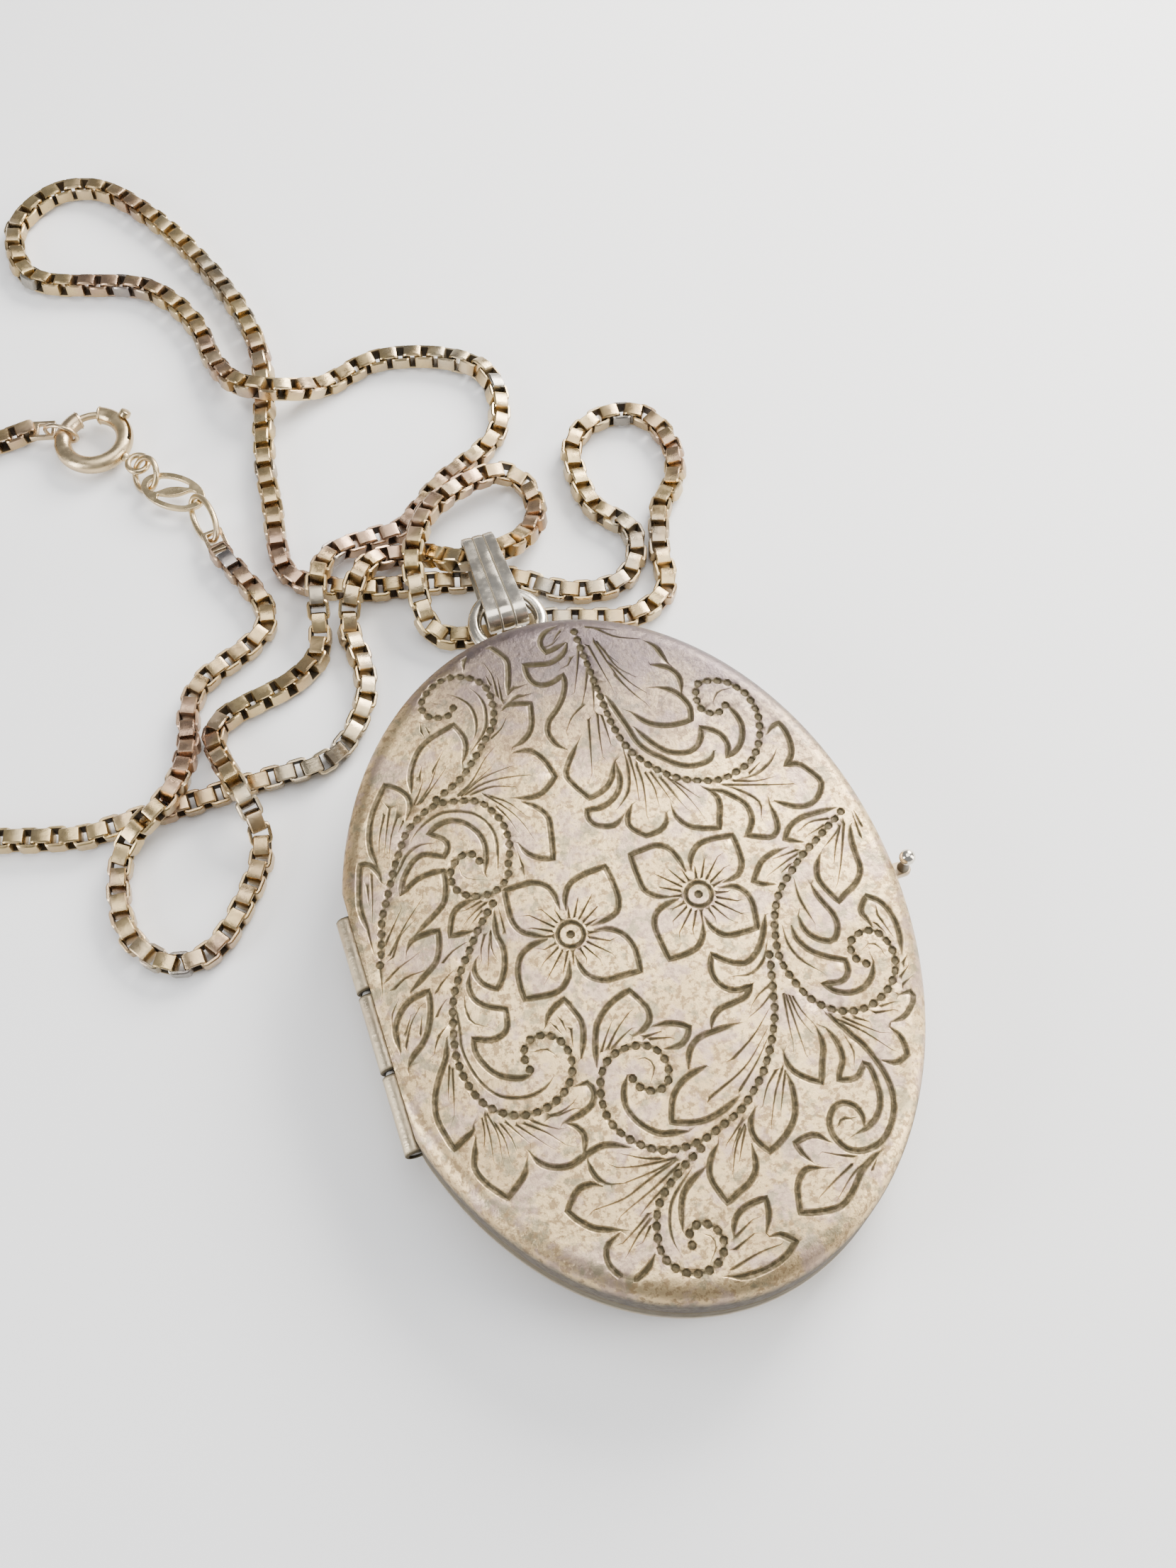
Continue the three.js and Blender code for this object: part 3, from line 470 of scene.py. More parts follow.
# Outlines of leaves and petals, cut deep.
OUTLINES = [
    # Leaves at the top left.
    [(-8.8, 11.2), (-8.5, 12.4), (-8.1, 13.1), (-7.6, 13.7), (-6.9, 14.1), (-5.35, 14.55), (-5.35, 14.55),
     (-5.1, 13.8), (-5.05, 13.2), (-5.3, 12.5), (-5.6, 12.05)],
    [(-3.75, 17.85), (-3.6, 18.35), (-3, 18.8), (-2.25, 19.1), (-2.25, 19.1), (-1.9, 18.8), (-1.5, 18.2),
     (-1.25, 17.6), (-1.35, 17), (-1.6, 16.2), (-1.9, 15.35)],
    [(-1.9, 15.35), (-1.5, 15.7), (-1.1, 15.65)],
    [(-1.95, 14.85), (-1.5, 15.1), (-1, 15)],
    [(-2.5, 14.5), (-2.1, 14.75), (-1.5, 14.6), (-0.85, 14.4), (-0.85, 14.4), (-1, 13.8), (-1.2, 13.1),
     (-1.6, 12.5), (-2.2, 12.15), (-2.65, 12.05)],
    [(-2.65, 11.7), (-1.8, 11.5), (-1.4, 11), (-1.15, 10.3), (-1, 9.5), (-1, 9.5), (-1.6, 9), (-2.2, 8.7),
     (-2.9, 8.75), (-3.45, 8.95)],
    [(-3.2, 8.6), (-2.6, 8.1), (-2.15, 7.3), (-2.25, 6.5), (-2.65, 4.8), (-2.65, 4.8), (-3.3, 5.05),
     (-3.9, 5.6), (-4.15, 6.3)],
    [(-13.2, 4), (-13.3, 5.5), (-13.1, 6.5), (-12.65, 8), (-12.65, 8), (-12.2, 7.9), (-11.85, 7.3),
     (-11.8, 6.6)],
    [(-11.75, 7.5), (-11.85, 8.5), (-11.75, 9.3), (-11.4, 10.3), (-11, 11), (-10.05, 12.2), (-10.05, 12.2),
     (-9.5, 11.8), (-9.05, 11.1), (-9.1, 10.4), (-9.55, 9.7)],
    # Inside the scroll at the left.
    [(-6.4, 5.2), (-6, 6.3), (-5.9, 7.1), (-6.1, 7.8), (-6.6, 8.5), (-7.3, 8.85), (-8, 8.8), (-8.6, 8.5),
     (-8.6, 8.5), (-8.1, 8.1), (-7.8, 7.7), (-7.9, 7.2), (-8.2, 6.9), (-8.2, 6.9), (-8.75, 7.2),
     (-9.2, 7.4), (-9.7, 7.3), (-10.2, 6.9), (-10.7, 6.3), (-11, 5.6), (-11, 5.6), (-10.5, 5.85),
     (-10, 6.1), (-9.2, 6.2), (-8.45, 6.1), (-8.45, 6.1), (-8.6, 5.2), (-9, 4.3), (-9.7, 3.8),
     (-10.5, 3.35), (-10.9, 3.1)],
    [(-11.65, 2.35), (-11.2, 2.85), (-10.5, 2.95), (-9.7, 2.9), (-9.7, 2.9), (-9.9, 2.1), (-10.3, 1.3),
     (-11, 0.8), (-12.05, 0.15)],
    [(-13.45, -2.8), (-13.35, -1.5), (-12.9, -0.8), (-12.2, -0.3), (-11.15, -0.15), (-11.15, -0.15),
     (-11.3, -1), (-11.7, -2), (-12.2, -2.7), (-13, -3.3), (-13.35, -3.8)],
    [(-7.3, 3.95), (-8.1, 3.9), (-8.6, 3.65), (-8.95, 3.1), (-9.2, 2.4), (-9.2, 2.4), (-8.5, 2.3),
     (-7.9, 2.25)],
    [(-6.6, 2.9), (-6.85, 1.7), (-6.75, 0.8), (-7, -0.2), (-7.4, -0.9), (-7.75, -1.25), (-7.75, -1.25),
     (-8.2, -0.9), (-8.5, -0.4), (-8.55, 0.2), (-8.3, 0.7)],
    [(-8.8, 0.1), (-9.1, -0.6), (-9, -1.4), (-8.6, -1.9), (-7.65, -2.45), (-7.65, -2.45), (-7.75, -3),
     (-7.95, -3.5), (-8.4, -3.75), (-8.9, -3.75), (-9.7, -3.4), (-9.7, -3.4), (-9.8, -4), (-9.6, -4.8),
     (-9.1, -5.6), (-8.5, -6), (-7.9, -6.2), (-7.35, -6.1)],
    # Leaves at the lower left.
    [(-11, -2.9), (-11.3, -3.8), (-12, -4.8), (-12.5, -5.8), (-12.65, -6.8), (-12.3, -8.5), (-12.3, -8.5),
     (-11.7, -8.2), (-11.1, -7.9), (-10.98, -7.6)],
    [(-11.1, -8.3), (-11.4, -9.1), (-11.6, -9.7), (-11.3, -10.6), (-10.5, -11.7), (-10.5, -11.7),
     (-9.9, -11.3), (-9.3, -10.8), (-9, -10.2)],
    [(-5.45, -7.5), (-4.9, -7.5), (-4.9, -7.5), (-4.72, -7.9), (-4.9, -8.5), (-5.5, -8.85), (-6.2, -9),
     (-6.75, -9.05)],
    [(-6.6, -9.1), (-6.1, -9.5), (-5.9, -10), (-6.1, -10.6), (-6.3, -11)],
    [(-8.75, -9.9), (-8.5, -10.5), (-8, -10.95), (-7.1, -11.2), (-6.3, -11), (-5.5, -10.8), (-4.9, -10.85),
     (-4, -11.3)],
    [(-6.15, -11.1), (-6.1, -11.9), (-5.8, -12.5), (-5.45, -12.75)],
    [(-5.85, -12.7), (-6.4, -12.4), (-7.1, -12.45), (-7.5, -12.8), (-7.9, -13.25), (-7.9, -13.25),
     (-7.5, -13.9), (-6.9, -14.5), (-5.7, -15)],
    [(-5.9, -15.15), (-6.6, -15.5), (-6.8, -16), (-6.7, -16.6), (-6.05, -17.5), (-6.05, -17.5),
     (-5.4, -17.3), (-4.9, -17), (-4.5, -16.6)],
    # Leaves round the scroll in the middle of the lower half.
    [(-6, -4), (-5.7, -3.5), (-5.1, -3.1), (-4.6, -2.95), (-4.6, -2.95), (-4.35, -3.6), (-4.15, -4.4),
     (-4.3, -5.1), (-4.8, -6.2)],
    [(-4.2, -6.9), (-3.8, -5.5), (-3.4, -4.7), (-2.8, -4.15), (-2, -3.75), (-1.25, -3.6), (-1.25, -3.6),
     (-0.95, -4.2), (-0.7, -4.8), (-0.8, -5.4), (-1.3, -5.8), (-1.9, -5.95)],
    [(-0.75, -5.8), (0, -5.9), (0.6, -6.15), (1, -6.45), (1, -6.45), (0.7, -6.9), (0.2, -7.2),
     (-0.55, -7.15)],
    [(1.15, -8.65), (0.2, -8.8), (-0.5, -9.1), (-1.1, -9.7), (-1.55, -10.8), (-1.55, -10.8), (-0.8, -11.1),
     (0, -11.25), (1, -11.1), (2.15, -10.65)],
    [(3.3, -7.05), (2.2, -7.05), (1.2, -7.15), (0.6, -7.6), (0.2, -8.5)],
    [(2.05, -6.9), (2.3, -6.4), (2.8, -6.05), (3.6, -5.95), (4.4, -5.8), (4.85, -5.35), (4.85, -5.35),
     (4.2, -5.4), (3.6, -5.15), (3.2, -4.5), (3.2, -3.7), (3.5, -3.1), (3.5, -3.1), (4, -3.6), (4.6, -4),
     (5.1, -4.1), (5.8, -3.7), (6.4, -3), (7, -1.9)],
    [(-2.85, -7.8), (-3.3, -8.5), (-3.45, -9.3), (-3.1, -10.3), (-2.3, -11.15), (-1.6, -11.35),
     (-0.9, -11.5)],
    # Leaves at the bottom.
    [(0.3, -12.55), (-0.3, -13.1), (-0.65, -13.9), (-0.5, -14.8), (-0.3, -15.45), (-0.3, -15.45),
     (0.4, -15.15), (1.1, -14.85), (1.65, -14.3), (1.9, -13.1)],
    [(2.7, -11.45), (2.2, -12.1), (2.15, -12.9), (2.6, -13.75), (2.6, -13.75), (3.3, -13.45), (4.1, -12.9),
     (4.6, -12.2), (4.9, -11), (4.9, -10.3)],
    [(-0.6, -17.15), (-0.3, -16.4), (0.2, -16), (0.9, -15.85), (1.6, -15.85), (1.6, -15.85), (1.45, -16.6),
     (1, -17.4)],
    [(1.1, -17.65), (1.6, -17.7), (2.25, -18.25), (2.25, -18.25), (1.5, -18.75), (0.5, -19), (-0.75, -19),
     (-1.5, -18.75)],
    [(-0.7, -13.45), (-1.5, -13.8), (-2.2, -14.3), (-2.6, -15.1), (-2.85, -16)],
    [(5.65, -14.25), (5.1, -13.7), (4.6, -13.65), (4, -13.75), (4, -13.75), (4.1, -14.3), (4.45, -14.9)],
    [(4.8, -15.35), (4, -15.15), (3.4, -15.6), (3.1, -16.4), (2.95, -17.05), (2.95, -17.05), (3.8, -17.3),
     (5, -17.38), (5.8, -16.9), (6.5, -16.2), (7.1, -15.8), (8, -15.45)],
    # The plain spiral at the lower right and its leaf.
    [(6.4, -13.6), (6.7, -13.35), (7.1, -13.5)],
    [(7.6, -14.1), (7.75, -13.5), (7.5, -12.9), (6.9, -12.6), (6.3, -12.85), (5.95, -13.5), (6, -14.2),
     (6.4, -14.9), (7.1, -15.2), (8, -15.1), (8.7, -14.65), (9.3, -13.9), (9.65, -13), (9.7, -12),
     (9.5, -11), (9.15, -10), (8.9, -9.6), (8.5, -8.8), (8, -8)],
    [(7.05, -14.3), (7.8, -14.15), (8.4, -13.8), (8.9, -13.1), (9.1, -12.1), (9.05, -11.2), (8.85, -11.05),
     (8.5, -11.45), (8, -11.65), (7.3, -11.45), (7.3, -11.45), (7.5, -11.1), (7.9, -10.5), (8, -10),
     (7.9, -9.3), (7.7, -8.7)],
    [(7.25, -8.6), (7.25, -9.4), (6.8, -10.4), (6.4, -11.3), (6.4, -11.3), (5.8, -10.9), (5.2, -10.2),
     (5.1, -9.7), (5.15, -9.2)],
    # Leaves at the right.
    [(12.05, -8.2), (12.7, -8.2), (12.7, -8.2), (12.8, -8.5), (12.4, -9), (11.8, -9.4), (11.05, -9.45)],
    [(10.9, -9.7), (11.25, -10.4), (11.2, -11.3), (11.2, -11.3), (10.5, -11.55), (9.8, -11.2)],
    [(12.2, -4.3), (12.1, -3.8), (11.95, -3.3), (12.2, -2.9), (12.6, -2.55), (12.6, -2.55), (13.2, -3.1),
     (13.5, -4), (13.45, -5), (13.15, -6.05)],
    [(8.1, -2.9), (8.1, -3.7), (8.5, -4.5), (9.2, -5.1), (10.1, -5.6), (10.1, -5.6), (10, -6.2),
     (9.5, -6.6), (8.5, -6.45), (8.5, -6.45), (8.9, -7), (9.7, -7.35), (10.5, -7.25), (11.1, -6.8),
     (11.5, -6.1)],
    [(10, -1), (10.1, -1.8), (10.5, -3.1), (10.4, -3.8), (9.9, -4.35), (9.2, -4.1), (8.7, -3.4),
     (8.65, -2.5)],
    [(13.4, 1.6), (13.1, 0.7), (13, -0.2), (12.9, -1), (12.3, -1.7), (11.5, -2.1), (11.05, -2.4),
     (11.05, -2.4), (10.7, -1.6), (10.5, -0.8), (10.7, -0.1), (11.15, 0.5)],
    [(9.4, 1.4), (8.7, 1.35), (8, 1.1), (7.5, 0.6), (7.1, 0.1), (7.1, 0.1), (7.5, -0.2), (8.1, -0.4)],
    [(13, 2.85), (12.1, 2.88), (11, 2.85), (10.2, 2.55), (9.65, 1.9), (9.65, 1.9), (10.5, 1.45)],
    [(11.2, 8.35), (11.6, 8.7), (12.05, 8.8), (12.05, 8.8), (12.2, 8.2), (12.15, 7.2), (11.9, 6.6),
     (11.4, 6.15), (11.4, 6.15), (12.1, 6), (12.6, 5.3), (12.9, 4.6), (12.4, 3.8), (11.7, 3.45),
     (11, 3.55), (10.5, 3.85), (9.95, 4.25)],
    # Leaves and lobes at the top middle and right.
    [(2.2, 18.9), (1.6, 18.8), (1.1, 18.45), (0.9, 18), (1.05, 17.35), (1.05, 17.35), (1.6, 17.45),
     (2.35, 17.65)],
    [(2.4, 17.6), (2.1, 17.1), (1.6, 16.75), (1, 16.6), (0.3, 16.75), (-0.4, 16.95), (-0.4, 16.95),
     (-0.45, 16.3), (-0.3, 15.7), (0.1, 15.35), (0.7, 15.3), (1.5, 15.6), (1.5, 15.6), (1.4, 15), (1, 14.2),
     (0.4, 13.5), (-0.2, 13), (-0.5, 12.4), (-0.5, 12), (-0.3, 11.4), (0.15, 10.9)],
    [(0.8, 11.05), (0.4, 10.6), (0, 10.1), (-0.4, 9.4), (-0.2, 8.7), (0.35, 7.6), (0.35, 7.6), (0.9, 7.7),
     (1.5, 7.95), (2, 8.5), (2.25, 9), (2.45, 9.35)],
    [(2.45, 9.1), (2.35, 8.2), (2, 7.5), (1.4, 7.05), (0.7, 6.85), (0, 6.95), (0, 6.95), (-0.1, 6.5),
     (0.1, 6), (0.6, 5.7), (1.1, 5.6), (1.85, 6.05)],
    [(2.45, 6.5), (2, 5.9), (1.85, 5.4), (2.1, 4.9), (2.55, 4.45), (2.55, 4.45), (3.3, 4.5), (3.8, 4.8),
     (4.05, 5.4)],
    [(4.45, 5.6), (4.5, 5), (4.9, 4.3), (5.6, 3.9), (6.5, 3.65), (6.5, 3.65), (6.7, 4.2), (7, 4.9),
     (7.05, 5.4), (6.85, 5.9), (6.5, 6.25)],
    [(6.85, 6), (7.4, 5.7), (8, 5.1), (8.4, 4.5), (8.45, 4), (8.35, 3.5), (7.95, 2.95), (7.75, 2.75),
     (7.75, 2.75), (8.3, 2.5), (9.05, 2.25), (9.5, 2.6), (9.65, 3.3), (9.65, 4.2)],
    [(6.3, 13.1), (6.9, 12.75), (7.35, 12.2), (7.6, 11.3), (7.4, 10.5), (7.4, 10.5), (6.8, 10.45),
     (6, 10.55), (5.3, 10.85), (4.8, 11.3), (4.35, 12)],
    [(6.45, 14.65), (6.9, 14.45), (7.4, 14.1), (7.7, 13.5), (7.7, 13), (7.5, 12.35)],
    [(6.75, 16.25), (7.15, 15.7), (7.3, 15), (7.45, 14.4)],
    [(9.65, 10.85), (9.85, 10.3), (10, 9.5), (9.85, 8.8), (9.5, 8.2), (9, 7.8), (8.5, 7.65), (8.5, 7.65),
     (8.75, 8.2), (8.75, 8.8), (8.5, 9.3), (7.75, 9.85), (7.75, 9.85), (7.55, 9.3), (7.2, 8.85),
     (6.7, 8.6), (6.1, 8.65), (5.4, 9), (4.9, 9.6), (4.5, 10.3), (4.2, 11)],
    [(7.9, 8.2), (7.6, 7.8), (6.9, 7.65), (6.2, 7.75), (5.6, 8.1), (5, 8.7), (4.5, 9.2), (4, 10.1),
     (3.85, 11), (3.6, 12.2), (3.35, 13.5)],
]

# Petals of the two flowers.
OUTLINES += [
    [(-3.25, 1.9), (-3.3, 3), (-3.6, 3.5), (-4.2, 3.85), (-5, 3.9), (-5.7, 3.9), (-5.7, 3.9), (-5.8, 3.2),
     (-5.85, 2.1), (-5.6, 1.4), (-5.1, 1), (-4.4, 0.62)],
    [(-2.95, 1.7), (-2.8, 2.4), (-2.3, 3.1), (-1.6, 3.35), (-0.15, 3.45), (-0.15, 3.45), (-0.08, 2.5),
     (-0.1, 1.5), (-0.4, 0.8), (-1, 0.55), (-1.9, 0.45)],
    [(-1.9, 0.15), (-1.2, 0), (-0.6, -0.45), (-0.25, -1.2), (-0.25, -2), (-0.35, -2.75), (-0.35, -2.75),
     (-1.4, -2.7), (-2.3, -2.65), (-3, -2.15), (-3.25, -1.5), (-3.3, -0.9)],
    [(-3.7, -1.05), (-4, -1.8), (-4.5, -2.3), (-5, -2.45), (-6.55, -2.25), (-6.55, -2.25), (-6.55, -1.5),
     (-6.4, -0.6), (-6, 0.1), (-5.3, 0.45), (-4.4, 0.5)],
    [(2.55, 0.65), (1.9, 0.9), (1.4, 1.4), (1.3, 2.5), (1.35, 3.65), (1.35, 3.65), (2, 3.72), (2.8, 3.75),
     (3.4, 3.4), (3.7, 2.7), (3.85, 1.75)],
    [(4.15, 1.8), (4.4, 2.5), (5, 3.05), (5.7, 3.15), (7, 3), (7, 3), (7, 2), (6.85, 1.2), (6.4, 0.7),
     (5.5, 0.55)],
    [(5.3, 0.3), (6, 0.15), (6.5, -0.4), (6.6, -1), (6.35, -2.45), (6.35, -2.45), (5.3, -2.45),
     (4.5, -2.3), (4, -1.6), (3.9, -1)],
    [(3.7, -1.25), (3.4, -2), (2.9, -2.5), (2.2, -2.65), (1.3, -2.65), (1.3, -2.65), (1.2, -1.5),
     (1.2, -0.6), (1.5, 0), (2.1, 0.3), (2.9, 0.4)],
]
FLOWERS = [(-3.15, 0.35), (4.05, 0.32)]

# Lighter lines that run beside the scrolls.
COMPANIONS = [
    [(-5.2, 16.65), (-4.6, 16.15), (-4.15, 15.5), (-4.05, 14.7), (-4.2, 13.9), (-4.6, 13.15)],
    [(-3.8, 16.5), (-3.5, 16), (-3.35, 15.3), (-3.45, 14.5), (-3.75, 13.7), (-4.4, 13), (-5, 12.5)],
    [(-6.15, 16.4), (-5.9, 16.15), (-5.7, 16.1)],
    [(-9.65, 8.4), (-9.1, 8.9), (-8.3, 9.3), (-7.5, 9.45), (-6.7, 9.25), (-5.9, 8.8), (-5.4, 8.1),
     (-5.2, 7.2), (-5.4, 6.1), (-5.7, 5.1)],
    [(-8.5, 7.85), (-9.1, 8), (-9.7, 7.9), (-10.2, 7.6), (-10.7, 7), (-11.3, 6.3)],
    [(-7.6, 5.9), (-7.55, 5.4), (-7.05, 5.05)],
    [(-12.8, -0.1), (-13.3, -0.7), (-13.5, -1.4)],
    [(-9.45, -0.9), (-9.6, -1.7), (-9.5, -2.5), (-8.8, -3.05)],
    [(-10, -1), (-10.2, -2.5), (-10.4, -3.7), (-10.25, -4.9), (-9.9, -5.9), (-9.3, -6.7), (-8.5, -7.1),
     (-7.7, -7.2), (-6.9, -7), (-6.4, -6.6)],
    [(-6.95, -5.1), (-6.6, -5.1), (-6.2, -5.25), (-5.9, -5.8)],
    [(-2.05, -7.2), (-1.6, -7.3), (-1.4, -7.8), (-1.8, -8.45)],
    [(-1.4, -13.3), (-2.1, -13.8), (-2.8, -14.4), (-3.25, -15.2), (-3.45, -16.2), (-3.3, -17.15)],
    [(-1.9, -16.5), (-1.55, -16.8), (-1.55, -17.2), (-2, -17.75)],
    [(4.15, -4.6), (5, -4.75), (5.9, -4.3), (6.6, -3.25)],
    [(7.65, -2.7), (7.55, -3.8), (7.8, -4.7), (8.2, -5.3), (8.6, -5.75)],
    [(9.25, -0.4), (9.1, -1.5), (9.2, -2.4), (9.35, -3.2)],
    [(11.3, -5.25), (11.7, -5.1), (12.1, -5.4), (12.2, -5.9)],
    [(8.5, 6.1), (9.5, 6.1), (10.3, 6.4), (10.9, 6.8), (11.3, 7.25)],
    [(7.5, 6.1), (8.2, 5.6), (9.1, 4.6), (9.15, 4.2), (8.9, 3.5)],
    [(3.15, 10), (2.95, 8.5), (2.5, 7.3), (2, 6.8), (1.55, 6.45)],
    [(8.45, -9.3), (8.6, -10.3), (8.35, -10.95)],
    [(9, 11.2), (9.5, 11.75), (10.1, 11.75)],
    [(0.9, 17.9), (1.3, 17.7), (2.2, 18.2)],
]

# Scroll stems: a groove punched with a row of dots.
STEMS = [
    [(-5.05, 15.6), (-5.5, 15.2), (-6, 15.25), (-6.5, 15.5), (-6.75, 16), (-6.7, 16.5), (-6.3, 17),
     (-5.7, 17.4), (-5, 17.6), (-4.4, 17.55), (-3.9, 17.35), (-3.4, 17), (-3, 16.5), (-2.85, 15.9),
     (-2.85, 15.3), (-2.95, 14.6), (-3.15, 14), (-3.5, 13.5), (-4.2, 12.75), (-5, 11.95), (-6, 11.1),
     (-6.7, 10.75), (-7.6, 10.35)],
    [(3.05, 18.2), (3.05, 16.5), (3.05, 14.5), (3.05, 12.5), (3.1, 11.4), (3.25, 10.5), (3.5, 9.7),
     (3.9, 8.9), (4.4, 8.2), (5.1, 7.5), (5.7, 7.05), (6.5, 6.7), (7.3, 6.45), (8.1, 6.45), (8.8, 6.65),
     (9.6, 6.95), (10.3, 7.65), (10.7, 8.3), (11, 9.1), (11.15, 9.8), (11.1, 10.5), (11, 11.1),
     (10.7, 11.6), (10.2, 12.2), (9.3, 12.6), (8.6, 12.6), (8.25, 12), (8.15, 11.5), (8.2, 11),
     (8.5, 10.6), (9, 10.45), (9.6, 10.8)],
    [(-13.15, 2.1), (-12.95, 2.65), (-12.55, 3.95), (-12.35, 4.6), (-12, 5.2), (-11.3, 6.5), (-10.8, 7.4),
     (-10.2, 8.3), (-9.7, 9), (-9, 9.5), (-8.3, 9.9), (-7.5, 10.05), (-6.7, 9.9), (-6, 9.7), (-5.3, 9.3),
     (-4.9, 8.6), (-4.6, 7.8), (-4.55, 6.9), (-4.7, 6.1), (-5.05, 5.3), (-5.2, 4.75), (-5.5, 4.4),
     (-5.9, 4.12), (-6.6, 3.98), (-7.3, 4.12), (-7.8, 4.4), (-8.15, 4.9), (-8.2, 5.7), (-7.9, 6.2),
     (-7.4, 6.6), (-6.8, 6.6), (-6.45, 6)],
    [(-6.5, 3.4), (-7.5, 2.45), (-8.42, 1.35), (-9.3, 0.25), (-10.05, -1), (-10.47, -2.35), (-10.8, -4),
     (-10.65, -5.65), (-10.15, -6.85), (-9.25, -7.7), (-8.05, -8.1), (-6.75, -7.9), (-5.7, -7.15),
     (-5.25, -5.9), (-5.7, -4.7), (-6.8, -4.35), (-7.5, -4.95), (-7.45, -5.9)],
    [(-2.65, -8.05), (-2.5, -8.5), (-2, -8.95), (-1.5, -9.05), (-0.95, -8.7), (-0.72, -7.9), (-1, -7),
     (-1.55, -6.6), (-2.4, -6.42), (-3.3, -6.6), (-4, -7.2), (-4.45, -8.3), (-4.48, -9.65), (-3.95, -10.75),
     (-2.9, -11.75), (-1.9, -12.13), (-0.45, -12.15), (0.85, -11.75), (2.02, -11.3), (3.03, -10.55),
     (3.93, -9.68), (4.97, -8.15), (5.53, -7), (5.9, -5.8), (6.23, -4.65), (6.4, -4.05)],
    [(-0.6, -12.5), (-1.5, -12.95), (-2.58, -13.6), (-3.53, -14.45), (-4.05, -15.6), (-4.15, -16.85),
     (-3.5, -17.85), (-2.5, -18.2), (-1.6, -17.9), (-1.1, -17.2), (-1.3, -16.35), (-1.9, -15.95),
     (-2.5, -16.1), (-2.65, -16.8)],
    [(13.25, 2.55), (12.25, 1.95), (11.27, 1.35), (10.22, 0.75), (9.25, 0), (8.33, -0.78), (7.57, -1.88),
     (7.12, -3.05), (6.85, -4.45), (7.07, -5.75), (7.63, -7.1), (8.63, -8), (9.85, -8.35), (11.1, -8.05),
     (12.18, -7.25), (12.7, -6.17), (12.6, -5.1), (12.18, -4.5), (11.4, -4.38), (10.7, -4.8),
     (10.65, -5.6), (11.1, -6.1)],
]

